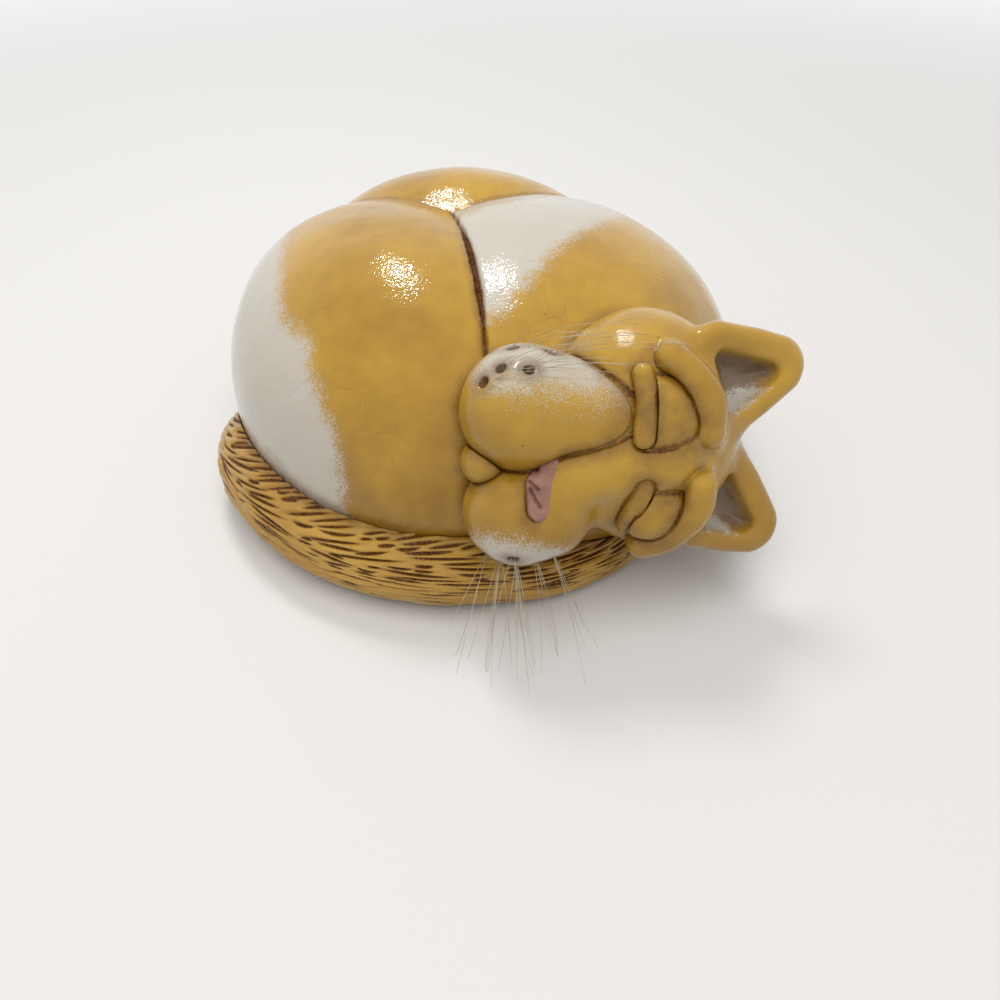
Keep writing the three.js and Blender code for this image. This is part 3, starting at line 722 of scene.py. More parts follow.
def gourd_skin():
    segments = int(GOURD_SEGMENTS / FINE)
    azimuth = crowded(segments, CREASE_AZIMUTH, width=7, extra=2.5)
    hole = PLUG_DIAMETER / 2 + CLEARANCE
    floor = LOBE_MIDDLE_HEIGHT - GOURD_WALL
    edge = base_edge(azimuth)
    hole_outside = math.pi - math.atan(hole / LOBE_MIDDLE_HEIGHT)
    hole_inside = math.pi - math.atan(hole / floor)
    side = np.linspace(0, 1, int(GOURD_RINGS / FINE) + 1)[1:, None] * edge
    base = blend(edge, hole_outside, np.linspace(0, 1, BASE_RINGS + 1)[1:, None])
    out = rays(np.concatenate([side, base]).ravel(), np.tile(azimuth, len(side) + len(base)))
    points = gourd_heart + out * gourd_depth(out)[:, None]
    d, front = crease(points)
    rough = 0.85 + 0.3 * lumps(points, 5, 3) + 0.35 * lumps(points, 1.6, 4)
    wide = CREASE_WIDTH * blend(0.5, 1, front_crease_width(points) / CREASE_HALF_WIDTH)
    cut = np.where(front, CREASE_DEPTH * rough, SIDE_CREASE_DEPTH) * bell(d, wide)
    points = points + out * (0.3 * lumps(points, 22, 1) + 0.12 * lumps(points, 8, 2) - cut)[:, None]
    reach = np.where(out[:, 2] < 0, LOBE_MIDDLE_HEIGHT / np.maximum(-out[:, 2], 1e-6), FAR)
    length = np.minimum(lengths(points - gourd_heart), reach)
    points = gourd_heart + out * length[:, None]

    inside = np.linspace(1, 0, INSIDE_RINGS + 1)[:-1, None] * np.full(segments, hole_inside)
    inward = rays(inside.ravel(), np.tile(azimuth, len(inside)))
    depth = gourd_depth(inward, -GOURD_WALL)
    to_floor = floor / np.maximum(-inward[:, 2], 1e-6)
    depth = np.where(inward[:, 2] < 0, np.minimum(depth, to_floor), depth)
    points = np.concatenate([points, gourd_heart + inward * depth[:, None]])
    up = vec(0, 0, 1)
    tops = [gourd_heart + up * gourd_depth(up[None], level) for level in (0, -GOURD_WALL)]
    points, faces = with_ends(points, segments, *tops)
    return points, [face[::-1] for face in faces]


# White paint on the gourd: outlines as azimuth and height above the horizon, in degrees
# seen from the gourd's heart
HAUNCH_WHITE = [
    (187, 41), (204, 39), (218, 34), (230, 33), (236, 27), (241, 23), (246, 17), (248, 11), (249, 4),
    (246, -12), (190, -14), (152, 2), (150, 24), (166, 38),
]
SHOULDER_WHITE = [
    (91, 86), (286, 78), (282, 65), (281, 54), (281, 47), (288, 48), (295, 50), (305, 54), (317, 56),
    (330, 57), (349, 54), (2, 48), (14, 42), (24, 42), (33, 48), (40, 58), (52, 72),
]
USUAL_RADIUS = 70.0
HEAD_NEAR = 75  # further than the head reaches from its place on the gourd


def inside_outline(p, outline):
    """Distance in mm inside an outline on the gourd, negative outside it"""
    azimuth, height = np.radians(np.array(outline, float)).T
    corners = rays(math.pi / 2 - height, azimuth)
    around_again = np.concatenate([corners[-2:], corners, corners[:2]])
    corners = through(around_again, 4 * len(around_again) - 3)[8:-8]
    corners = unit(corners)
    middle = unit(corners.mean(0))
    across = unit(np.cross(vec(0, 1, 0.01), middle))
    over = np.cross(middle, across)
    q = p - gourd_heart
    radius = lengths(q)

    def flatten(direction, radius):
        bearing = np.stack([direction @ across, direction @ over], -1)
        angle = np.arccos(np.clip(direction @ middle, -1, 1))
        scale = angle / np.maximum(lengths(bearing), 1e-9)
        return bearing * (scale * radius)[:, None]

    places = flatten(q / radius[:, None], radius)
    ring = flatten(corners, np.full(len(corners), USUAL_RADIUS))
    near = np.full(len(p), FAR)
    within = np.zeros(len(p), bool)
    for a, b in zip(ring, np.roll(ring, -1, 0)):
        line = b - a
        r = places - a
        share = np.clip(r @ line / (line @ line), 0, 1)
        near = np.minimum(near, lengths(r - share[:, None] * line))
        spans = (a[1] > places[:, 1]) != (b[1] > places[:, 1])
        crossing = a[0] + (places[:, 1] - a[1]) / (b[1] - a[1] or 1e-9) * line[0]
        within ^= spans & (places[:, 0] < crossing)
    return np.where(within, near, -near)


def near_head(points):
    """Which points the head may touch, and where those are in the head's frame"""
    close = lengths(points - head_place) < HEAD_NEAR
    return close, to_head(points[close])


def gourd_paint(points):
    d, front = crease(points)
    on_shoulder = np.minimum(haunch(points), back(points)) - shoulder(points)
    in_front = d - front_crease_width(points)
    in_front = np.where(in_front < 0, in_front, in_front * np.where(on_shoulder > 0, 6, 1.5))
    groove = np.where(front, in_front, d + 1.0)
    # Where the tail and the head meet the gourd count as grooves too, for stain and painted shade
    groove = np.minimum(groove, np.abs(tail(points)) + 0.5)
    close, q = near_head(points)
    pressed_on = np.min([np.abs(field(q)) for field in (clay, right_pad, chin_ball)], 0)
    groove[close] = np.minimum(groove[close], pressed_on + 0.3)
    white = np.minimum(inside_outline(points, SHOULDER_WHITE), 8 * on_shoulder)
    return dict(groove=groove, white=np.maximum(inside_outline(points, HAUNCH_WHITE), white))


# Tail: rings along its arc, carved with fur strokes and flattened against the gourd
TAIL_RINGS = 410
TAIL_SIDES = 240
STROKE_LENGTHS = (13, 24), (8, 14), (4.5, 9)
STROKE_TRIES = 6000
STROKE_SPACING = 1.05
STROKE_OVERLAP = 2.0
STROKE_WIDTHS = 0.36, 0.56
STROKE_DEPTHS = 0.75, 1.2
BURR_HEIGHT = 0.3


def tail_line(t):
    out, turn = tail_out(t), tail_azimuth(t)
    rise = TAIL_HEIGHT / 2 * tail_thin(t) - TAIL_FLAT
    return np.stack([out * np.cos(turn), out * np.sin(turn) - TAIL_FORWARD, rise], -1)


def tail_length():
    line = tail_line(np.linspace(0, 1, 400))
    return lengths(np.diff(line, axis=0)).sum()


def stroke_slope(share, up):
    """Direction of a fur stroke against the tail's own, in degrees: the fur parts along the
    tail's outer side and lies flatter toward the tip"""
    fan = 56 * smoothstep(up, 12, 85) - 9 * smoothstep(-up, -15, 30)
    return fan * blend(1, 0.25, smoothstep(share, 0.1, 0.75))


def fur_strokes(length):
    """Strokes as (along, up in mm, slope in degrees, length), none across another"""
    draw = np.random.default_rng(7)
    kept = np.empty((0, 4))
    for shortest, longest in np.repeat(STROKE_LENGTHS, STROKE_TRIES, 0):
        along = draw.uniform(2, length - 2)
        share = along / length
        radius = TAIL_HEIGHT / 2 * tail_thin(share)
        up = draw.uniform(-75, 135)
        slope = stroke_slope(share, up) + draw.normal(0, 3)
        long = draw.uniform(shortest, longest) * blend(0.55, 1, radius / (TAIL_HEIGHT / 2))
        c, s = cos_sin(slope)
        apart = kept[:, :2] - vec(along, math.radians(up) * radius)
        forward = np.abs(apart @ vec(c, s))
        aside = np.abs(apart @ vec(-s, c))
        room = STROKE_SPACING + 0.4 * smoothstep(up, 5, 70)
        if np.any((aside < room) & (forward < (kept[:, 3] + long) / 2 - STROKE_OVERLAP)):
            continue
        kept = np.vstack([kept, [along, math.radians(up) * radius, slope, long]])
    return kept


def carve(along, up, length):
    """Depth of the strokes in mm, how dark each place is painted with stain and painted shade, and the
    burr beside a stroke
    """
    carved, stroke_stain_and_shade, burr = np.zeros((3, *up.shape))
    draw = np.random.default_rng(11)
    for middle, rise, slope, long in fur_strokes(length):
        c, s = cos_sin(slope)
        on_top = smoothstep(rise / (TAIL_HEIGHT / 2), 0.1, 1.0)
        width = draw.uniform(*STROKE_WIDTHS) * blend(0.9, 1.2, on_top)
        depth = draw.uniform(*STROKE_DEPTHS)
        bow = draw.normal(0, 0.35)
        rows = np.flatnonzero(np.abs(along[:, 0] - middle) < long / 2 + 2)
        x, y = along[rows] - middle, up[rows] - rise
        u = (x * c + y * s) / (long / 2)
        aside = (y * c - x * s + bow * u * u) / (width * (1.15 - 0.35 * u))
        taper = np.clip(1 - u * u, 0, 1) ** 0.8
        below = np.clip(1 + aside / 2.6, 0, 1) ** 1.6
        groove = taper * np.where(aside > 0, np.clip(1 - aside**2, 0, 1), below)
        raised = BURR_HEIGHT * taper * bell(aside - 1.8, 0.7)
        carved[rows] = np.maximum(carved[rows], depth * groove)
        stroke_stain_and_shade[rows] = np.maximum(stroke_stain_and_shade[rows], groove)
        burr[rows] = np.maximum(burr[rows], raised)
    return carved, stroke_stain_and_shade, burr


def tail_skin():
    length = tail_length()
    rings, sides = int(TAIL_RINGS / FINE), int(TAIL_SIDES / FINE)
    even = np.linspace(0, 1, rings + 2)[1:-1]
    t = (3 * even + (1 - np.cos(math.pi * even)) / 2) / 4
    thin = tail_thin(t)
    wide, tall = TAIL_THICKNESS / 2 * thin, TAIL_HEIGHT / 2 * thin
    to_end = np.minimum(np.minimum(t, 1 - t) * length / wide, 1)
    rounded = np.sqrt(1 - (1 - to_end) ** 2)
    angle = crowded(sides, middle=38, width=78, extra=2.4)
    angle = np.where(angle > math.pi, angle - 2 * math.pi, angle)
    along = (t * length)[:, None] + np.zeros(sides)
    carved, stroke_stain_and_shade, burr = carve(along, angle * wide[:, None], length)
    line = tail_line(t)
    centre = line[:, None, :]
    across = unit((line + vec(0, TAIL_FORWARD, 0)) * vec(1, 1, 0))[:, None, :]
    base = centre + (rounded * wide)[:, None, None] * np.cos(angle)[None, :, None] * across
    base = base + (rounded * tall)[:, None, None] * np.sin(angle)[None, :, None] * vec(0, 0, 1)
    lumpy = 0.25 * lumps(base.reshape(-1, 3), 14, 5).reshape(rings, sides)
    swell = np.clip(1 + (lumpy + burr - carved - 0.5) / np.maximum(wide, 3)[:, None], 0.5, 1.1)
    points = centre + (base - centre) * swell[..., None]

    # Flattened against the gourd, by drawing its points toward a line low on its outer side
    anchor = centre + 0.75 * wide[:, None, None] * across
    anchor = anchor * vec(1, 1, 0) + vec(0, 0, 0.55) * centre[..., 2:]
    anchor = np.broadcast_to(anchor, points.shape).reshape(-1, 3)
    toward = points.reshape(-1, 3) - anchor
    clear = leaves(lambda p: CLEARANCE - gourd(p), anchor, toward, 1)
    points = anchor + toward * clear[:, None]
    points, faces = with_ends(points, sides, *tail_line(np.array([0.0, 1.0])))
    points[:, 2] = np.maximum(points[:, 2], 0)
    stroke_stain_and_shade = np.concatenate([stroke_stain_and_shade.ravel(), [0, 0]])
    return points, [face[::-1] for face in faces], stroke_stain_and_shade


def tail_paint(points, carved):
    # Where the tail meets the gourd and the head: stain and painted shade
    groove = np.abs(gourd(points) - CLEARANCE)
    close, q = near_head(points)
    groove[close] = np.minimum(groove[close], np.abs(clay(q)))
    return dict(groove=groove, carved=carved)


# Materials: each is a tree of shader nodes, with its patterns' sizes in mm
WHITE_PAINT = "#BBB6AB"
WORN_PAINT = "#A98F6A"
# The brown wash round grooves and where parts meet is partly real stain and partly painted shade
WASH_AND_SHADE = "#68441B"
# The dark brown in grooves and where parts meet is partly real stain and partly painted shade; the same
# colour marks the cracks and pin dots of dirt
STAIN_AND_SHADE = "#341705"
REDDISH_STAIN_AND_SHADE = "#7A4820"
EAR_INSIDE = "#75645A"
EAR_SHADOW = "#5E4C40"
VARNISH_IOR = 1.42
SMOOTH = dict(interpolation_type="SMOOTHSTEP")
COLOURS = dict(data_type="RGBA", out=2)


def to_linear(code):
    """Linear light of an sRGB colour written as hex"""
    parts = [int(code[i : i + 2], 16) / 255 for i in (1, 3, 5)]
    light = [c / 12.92 if c <= 0.04045 else ((c + 0.055) / 1.055) ** 2.4 for c in parts]
    return (*light, 1)


def add_node(tree, kind, inputs=(), out=0, **settings):
    """Add a node with its settings and give one of its outputs; an input is a number, a hex
    colour, or another node's output, which is linked to it"""
    made = tree.nodes.new("ShaderNode" + kind)
    for key, value in settings.items():
        setattr(made, key, value)
    inputs = inputs if isinstance(inputs, dict) else dict(enumerate(inputs))
    for key, value in inputs.items():
        if isinstance(value, bpy.types.NodeSocket):
            tree.links.new(value, made.inputs[key])
        else:
            made.inputs[key].default_value = to_linear(value) if isinstance(value, str) else value
    return made.outputs[out] if made.outputs else None


def start_material(name, patterns):
    """A new material, the function that adds its nodes, the place on the cat in mm, and soft
    noise from 0 to 1 for each pattern: the size of its bumps, its detail and its offset"""
    material = bpy.data.materials.new(name)
    material.use_nodes = True
    material.node_tree.nodes.clear()
    add = partial(add_node, material.node_tree)
    metres = add("TexCoord", out="Object")
    place = add("VectorMath", {0: metres, "Scale": 1 / MM}, operation="SCALE")
    noise = {}
    for key, (size, detail, offset) in patterns.items():
        moved = add("VectorMath", [place, offset], operation="ADD")
        noise[key] = add("TexNoise", {"Vector": moved, "Scale": 1 / size, "Detail": detail})
    return material, add, place, noise


def paint_shares(add, noise, table, **places):
    """How much of each paint shows. Each row has the place that it keeps to, or "all"; the
    noise added to that; and the values between which the share goes from 0 to 1, or from
    one given share to another"""
    places["all"] = 0
    share = {}
    for key, (place, roughened, limits) in table.items():
        if place not in places:
            stored = add("Attribute", out="Fac", attribute_name=place, attribute_type="GEOMETRY")
            places[place] = stored
        total = places[place]
        for pattern, amount in roughened.items():
            total = add("Math", [noise[pattern], amount, total], operation="MULTIPLY_ADD")
        share[key] = add("MapRange", [total, *limits], **SMOOTH)
    return share


# Patterns as (size of the bumps in mm, detail, offset)
PAINT_PATTERNS = {
    "cloud": (38, 3, (0, 0, 0)),
    "brushed": (5.5, 4, (31, 7, 13)),
    "stipple": (0.36, 2, (3, 91, 5)),
    "mottle": (2.2, 3, (51, 17, 3)),
    "ragged": (1.1, 3, (0, 0, 0)),
    "thin": (7, 2, (8, 61, 29)),
    "fibre": (0.8, 2, (0, 0, 0)),
    "grime": (0.45, 3, (44, 4, 9)),
    "crazed": (24, 1, (71, 3, 44)),
    "fine_peel": (0.8, 2, (9, 2, 77)),
    "broad_peel": (3.4, 2, (5, 5, 1)),
}
# Shares as (place, noise added to it, limits), as in paint_shares
PAINT_SHARES = {
    "deeper": ("low", {"cloud": 1.9, "brushed": 0.6}, (0.5, 2.0)),
    "white": ("white", {"mottle": 3, "brushed": 5, "stipple": 15}, (9.3, 14.1)),
    "thick_white": ("all", {"brushed": 1, "cloud": 1}, (0.5, 1.45, 0.78, 0.98)),
    "worn": ("worn", {"mottle": 5}, (1.0, 5.0, 0, 0.55)),
    # Brown wash round grooves and where parts meet: partly stain, partly painted shade
    "wash_and_shade": ("groove", {"mottle": -2.6}, (-1.7, 2.9, 1, 0)),
    "thick_wash_and_shade": ("all", {"brushed": 1}, (0.25, 0.7, 0.35, 0.75)),
    # Dark line in grooves and where parts meet: partly stain, partly painted shade
    "stain_and_shade": ("groove", {"ragged": -1.2}, (-0.75, -0.24, 1, 0)),
    "thick_stain_and_shade": ("all", {"thin": 1}, (0.3, 0.65, 0.35, 0.92)),
    "deep_stain_and_shade": ("groove", {}, (0.0, -0.35)),
    # Dark in the carved fur strokes, deepest under each stroke's upper edge: stain with painted shade
    "stroke": ("carved", {"fibre": 0.25}, (0.485, 0.825, 0, 0.95)),
    "reddish_stain_and_shade": ("all", {"grime": 1}, (0.42, 0.66)),
    "ear": ("hollow", {"mottle": 2.5}, (-0.35, 1.85, 0.88, 0)),
    "ear_shadow": ("all", {"brushed": 1}, (0.3, 0.75)),
    "lip": ("lip", {"mottle": 3, "stipple": 4}, (2.7, 4.5, 0, 0.8)),
    "crazed": ("all", {"crazed": 1}, (0.53, 0.62)),
}
PAINT_COMBINED = [
    ("white", "MULTIPLY", "thick_white"),
    ("wash_and_shade", "MULTIPLY", "thick_wash_and_shade"),
    ("thick_stain_and_shade", "MAXIMUM", "deep_stain_and_shade"),
    ("stain_and_shade", "MULTIPLY", "thick_stain_and_shade"),
    ("stain_and_shade", "MAXIMUM", "stroke"),
]
# The ginger turns deeper towards the bottom, between these heights in mm
DARKENS_DOWN = 66, 20
CRACK_BEND = 20
CRACK_WANDERS = 16
CRACK_SPACING = 27.8
DOT_SPACING = 5.26
GRAIN_SPACING = 5.24


def varnished_paint(name, light, deep, low_dark, crazed=0.0):
    """Craft paint under a thick glossy varnish: cloudy ginger brushed over by hand, white
    stippled in at its edges, brown stain and painted shade in every groove and where parts
    meet, and an orange-peel gloss"""
    material, add, place, noise = start_material(name, PAINT_PATTERNS)
    height = add("SeparateXYZ", [place], out=2)
    low = add("MapRange", [height, *DARKENS_DOWN, -0.15, low_dark], **SMOOTH)
    share = paint_shares(add, noise, PAINT_SHARES, low=low)
    for key, operation, other in PAINT_COMBINED:
        share[key] = add("Math", [share[key], share[other]], operation=operation)

    # Hairline cracks and pin dots of dirt under the varnish
    bend = add("TexNoise", {"Vector": place, "Scale": 1 / CRACK_BEND}, out="Color")
    bend = add("VectorMath", {0: bend, "Scale": CRACK_WANDERS}, operation="SCALE")
    bent = add("VectorMath", [bend, place], operation="ADD")
    cells = {"Vector": bent, "Scale": 1 / CRACK_SPACING}
    crack = add("TexVoronoi", cells, out="Distance", feature="DISTANCE_TO_EDGE")
    crack = add("MapRange", [crack, 0.001, 0.0055, crazed, 0], **SMOOTH)
    share["crack"] = add("Math", [crack, share["crazed"]], operation="MULTIPLY")
    dots = add("TexVoronoi", {"Vector": place, "Scale": 1 / DOT_SPACING}).node.outputs
    dot = add("MapRange", [dots["Distance"], 0.03, 0.06, 0.75, 0], **SMOOTH)
    picked = add("SeparateColor", [dots["Color"]])
    picked = add("Math", [picked, 0.5], operation="GREATER_THAN")
    share["dot"] = add("Math", [dot, picked], operation="MULTIPLY")

    # One paint over another
    # The dark in grooves, carved strokes and where parts meet, mottled reddish: stain with painted shade
    # in it
    stain_and_shade_colour = add("Mix", {0: share["reddish_stain_and_shade"], 6: STAIN_AND_SHADE, 7: REDDISH_STAIN_AND_SHADE}, **COLOURS)
    inside = add("Mix", {0: share["ear_shadow"], 6: EAR_INSIDE, 7: EAR_SHADOW}, **COLOURS)
    colour = add("Mix", {0: share["deeper"], 6: light, 7: deep}, **COLOURS)
    coats = {"white": WHITE_PAINT, "worn": WORN_PAINT, "wash_and_shade": WASH_AND_SHADE, "stain_and_shade": stain_and_shade_colour, "ear": inside}
    coats.update(lip=WHITE_PAINT, crack=STAIN_AND_SHADE, dot=STAIN_AND_SHADE)
    for key, coat in coats.items():
        colour = add("Mix", {0: share[key], 6: colour, 7: coat}, **COLOURS)

    # Orange peel of the varnish, and rough dirt where the stain and painted shade lie
    rough = add("Math", [noise["grime"], 0.5], operation="SUBTRACT")
    rough = add("Math", [share["stain_and_shade"], rough], operation="MULTIPLY")
    peel = add("Bump", {"Height": noise["fine_peel"], "Distance": 0.11 * MM})
    peel = add("Bump", {"Height": noise["broad_peel"], "Distance": 0.14 * MM, "Normal": peel})
    peel = add("Bump", {"Height": rough, "Distance": 0.3 * MM, "Normal": peel})
    clean = add("Math", [share["stain_and_shade"], -0.95, 1.0], operation="MULTIPLY_ADD")
    paint = {"Base Color": colour, "Roughness": 0.5, "IOR": 1.45, "Specular IOR Level": 0.15}
    varnish = {"Coat Weight": clean, "Coat Roughness": 0.06, "Coat IOR": VARNISH_IOR}
    bumps = {"Normal": peel, "Coat Normal": peel}
    surface = add("BsdfPrincipled", {**paint, **varnish, **bumps})
    add("OutputMaterial", {"Surface": surface})
    return material


NOSE_PATTERNS = {"mottle": (3, 3, (0, 0, 0)), "peel": (0.7, 2, (0, 0, 0))}
NOSE_SHARES = {
    "deeper": ("all", {"mottle": 1}, (0.2, 0.8)),
    "groove": ("groove", {"mottle": -0.8}, (-0.4, 0.5, 0.8, 0)),
}


def nose_paint():
    """Dusty pink craft paint under varnish, a little mottled, and darker at its rim and down
    in its slits"""
    material, add, _, noise = start_material("nose_paint", NOSE_PATTERNS)
    share = paint_shares(add, noise, NOSE_SHARES)
    colour = add("Mix", {0: share["deeper"], 6: "#9C6E5E", 7: "#7C5444"}, **COLOURS)
    colour = add("Mix", {0: share["groove"], 6: colour, 7: "#4A2618"}, **COLOURS)
    peel = add("Bump", {"Height": noise["peel"], "Distance": 0.04 * MM})
    paint = {"Base Color": colour, "Roughness": 0.5, "Specular IOR Level": 0.2}
    varnish = {"Coat Weight": 1.0, "Coat Roughness": 0.1, "Coat IOR": VARNISH_IOR}
    bumps = {"Normal": peel, "Coat Normal": peel}
    surface = add("BsdfPrincipled", {**paint, **varnish, **bumps})
    add("OutputMaterial", {"Surface": surface})
    return material


def whisker_hair():
    """Animal hair: pale, slightly see-through bristle with a soft shine along it"""
    material, add, _, noise = start_material("whisker_hair", {"tint": (9, 1, (0, 0, 0))})
    tint = add("MapRange", [noise["tint"], 0.3, 0.75], **SMOOTH)
    tint = add("Mix", {0: tint, 6: "#CFC3AC", 7: "#8C7B60"}, **COLOURS)
    hair = {"Base Color": tint, "Roughness": 0.35, "IOR": 1.5, "Transmission Weight": 0.25}
    add("OutputMaterial", {"Surface": add("BsdfPrincipled", hair)})
    return material


def sanded_softwood():
    """Sanded softwood, waxed to a dull sheen: faint rings of its grain, and fine pores"""
    material, add, place, noise = start_material("bare_wood", {"pores": (0.5, 3, (0, 0, 0))})
    scale = math.pi / 10 / GRAIN_SPACING  # at a scale of 1 the node's rings are pi / 10 apart
    rings = {"Vector": place, "Scale": scale, "Distortion": 3.0}
    rings = add("TexWave", rings, out=1, wave_type="RINGS", rings_direction="Z")
    colour = add("Mix", {0: rings, 6: "#B68B5C", 7: "#94683C"}, **COLOURS)
    pores = add("Bump", {"Height": noise["pores"], "Distance": 0.05 * MM})
    wood = {"Base Color": colour, "Roughness": 0.62, "Normal": pores}
    add("OutputMaterial", {"Surface": add("BsdfPrincipled", wood)})
    return material


gourd_paint_material = varnished_paint("varnished_gourd", "#BB9128", "#8C6512", 0.6, crazed=0.2)
clay_paint_material = varnished_paint("varnished_clay", "#BC932C", "#936C16", 0.4)
tail_paint_material = varnished_paint("varnished_tail", "#C09840", "#A07628", 0.2)
nose_material = nose_paint()
hair_material = whisker_hair()
wood_material = sanded_softwood()


# Build the gourd and the tail
points, faces = gourd_skin()
painted = gourd_paint(points)
make_piece("gourd", points, faces, gourd_paint_material, "painted_gourd", ["gourd_shell"], **painted)
points, faces, carved = tail_skin()
painted = tail_paint(points, carved)
make_piece("carved_tail", points, faces, tail_paint_material, "painted_clay", ["tail"], **painted)

# Build the head, in its own frame. Ears and brows are laid over it with a feathered lap
LAP = 0.8
FEATHER = 0.03
CLAY_STEP = 0.45
FINE_STEP = 0.36
NOSE_STEP = 0.28
# How far round the whisker holes the stain and painted shade reach, in mm
LEFT_HOLE_STAIN_AND_SHADE = 1.6
RIGHT_HOLE_STAIN_AND_SHADE = 1.4
PRESS_DEPTH = 0.45
PRESS_WIDTH = 0.6
LAID_ON_HEAD = {
    "right_brow": roll(BROW_LINES["right"], BROW_THICKNESS + 3),
    "left_brow": roll(BROW_LINES["left"], BROW_THICKNESS + 3),
    "right_ear": lambda p: ear_blade(in_ear("right", p)) - 2,
    "left_ear": lambda p: ear_blade(in_ear("left", p)) - 2,
}
drilled_clay = uneven(drilled(clay, "left"), height=0.16, size=6.5, seed=12)


def body(p):
    """Gourd and tail, in the head's frame"""
    q = from_head(p)
    return np.minimum(gourd(q), tail(q))


def off_body(field):
    """A field cut back where it would touch the gourd or the tail"""
    return lambda p: np.maximum(field(p), CLEARANCE - body(p))


def grooved_clay(p):
    """The melted clay, pressed in a little round the pieces that are set into it"""
    d = drilled_clay(p)
    for other in (right_pad, *LOWER_ROLLS.values(), *EYELID_DOMES.values()):
        d = d + PRESS_DEPTH * bell(other(p), PRESS_WIDTH)
    return d + 0.5 * nose_edge(in_nose(p)) * bell(nose(p), PRESS_WIDTH)


def head_clay(p):
    d = off_body(grooved_clay)(p)
    for region in LAID_ON_HEAD.values():
        d = np.maximum(d, -(region(p) + LAP))
    return d


def laid_on(name):
    """An ear or a brow, with its edge feathered over the clay that it flows into"""
    region = LAID_ON_HEAD[name]

    def field(p):
        r = region(p)
        d = grooved_clay(p) - FEATHER * np.clip(-r / LAP, -1, 1)
        d = np.maximum(np.maximum(d, r - LAP), CLEARANCE - body(p))
        if name.endswith("ear"):
            for side in SIDES:
                d = np.maximum(d, -(LAID_ON_HEAD[side + "_brow"](p) + LAP))
        return d

    return field


def clay_groove(p):
    """Distance to the nearest groove in the head's clay"""
    # Grooves include where the head meets the gourd and tail, and the whisker holes: the paint darkens
    # them with stain and painted shade
    near = [np.abs(right_pad(p)) - 0.35, np.abs(chin_ball(p)) - 0.35, np.abs(body(p)) - 0.4]
    near.append(np.abs(nose(p)) - 0.2 + 4 * (1 - nose_edge(in_nose(p))))
    near += [np.abs(other(p)) - 0.3 for other in (*LOWER_ROLLS.values(), *EYELID_DOMES.values())]
    on_skull = skull(p)
    for side in SIDES:
        d, aside, along = nearest_on(BROW_LINES[side], p)
        outer = smoothstep(aside, -0.5, 4)
        near.append(np.hypot(d - brow_radius(along), np.maximum(on_skull, 0)) - 0.2 + 5 * outer)
        near.append(np.hypot(ear_blade(in_ear(side, p)), np.maximum(on_skull, 0)) + 1.4)
    near += [lengths(p - mouth) - LEFT_HOLE_STAIN_AND_SHADE for mouth in MOUTHS["left"][0]]
    return np.min(near, 0)


def right_pad_groove(p):
    near = [np.abs(clay(p)) - 0.35, np.abs(chin_ball(p)) - 0.2, np.abs(gourd(from_head(p))) - 0.4]
    near += [lengths(p - mouth) - RIGHT_HOLE_STAIN_AND_SHADE for mouth in MOUTHS["right"][0]]
    return np.min(near, 0)


def left_cheek_white(p):
    """White paint on the cheek below the left whisker pad"""
    edge = -19 - 0.02 * (p[:, 0] + 41) ** 2 - p[:, 1]
    return np.where(p[:, 0] < -14, edge, -FAR)


def right_pad_white(p):
    return 0.6 * (p[:, 1] - 19.0 + 0.2 * (p[:, 0] + 38))


def ear_paint(side, p):
    """An ear's hollow, the white on its lower lip, and the stain and painted shade round its root"""
    q = in_ear(side, p)
    front = q[:, 2] > -4
    q = q - EAR_HOLLOW_MIDDLE
    q[:, 2] = (q[:, 1] / EAR_HOLLOW_HALF_ROOT) ** 2
    hollow = np.where(front, ear_hollow(q), FAR)
    lip = np.minimum(1.7 - np.abs(hollow + 1.3), -q[:, 1] - 0.30 * q[:, 0])
    groove = np.where(hollow < 0.5, FAR, clay_groove(p))
    return dict(hollow=hollow, lip=np.where(front, lip, -FAR), groove=groove)


def worn_crown(p):
    """Paint rubbed thin on the crown, between the ears"""
    return 4.5 - nearest_on([vec(16.3, 2.6, 10), vec(21.6, -4.4, 5)], p)[0]


def around(places, margin):
    """Corners of a box round some places"""
    places = np.asarray(places)
    return places.min(0) - margin, places.max(0) + margin


def clay_piece(name, field, corners, replaced, paint, step=FINE_STEP):
    """A piece of the head, from its field and a function that gives its painted places"""
    points, faces = skin(field, *corners, step)
    painted = paint(points)
    make_piece(name, from_head(points), faces, clay_paint_material, "painted_clay", replaced, **painted)


clay_piece(
    "head",
    head_clay,
    (vec(-52, -36, -32), vec(30, 36, 30)),
    ["head_core", "left_whisker_pad"],
    lambda p: dict(groove=clay_groove(p), white=left_cheek_white(p), worn=worn_crown(p)),
    CLAY_STEP,
)
for side in SIDES:
    place, turn = EAR_FRAMES[side]
    corners = [place + turn @ vec(x, y, z) for x in (-9, 27) for y in (-19, 19) for z in (-8, 8)]
    clay_piece(
        side + "_ear_clay",
        laid_on(side + "_ear"),
        around(corners, 1),
        [side + "_ear"],
        lambda p: dict(worn=worn_crown(p), **ear_paint(side, p)),
    )
for side in SIDES:
    clay_piece(
        side + "_brow_clay",
        laid_on(side + "_brow"),
        around(BROW_LINES[side], 7),
        [side + "_brow"],
        lambda p: dict(groove=clay_groove(p)),
    )

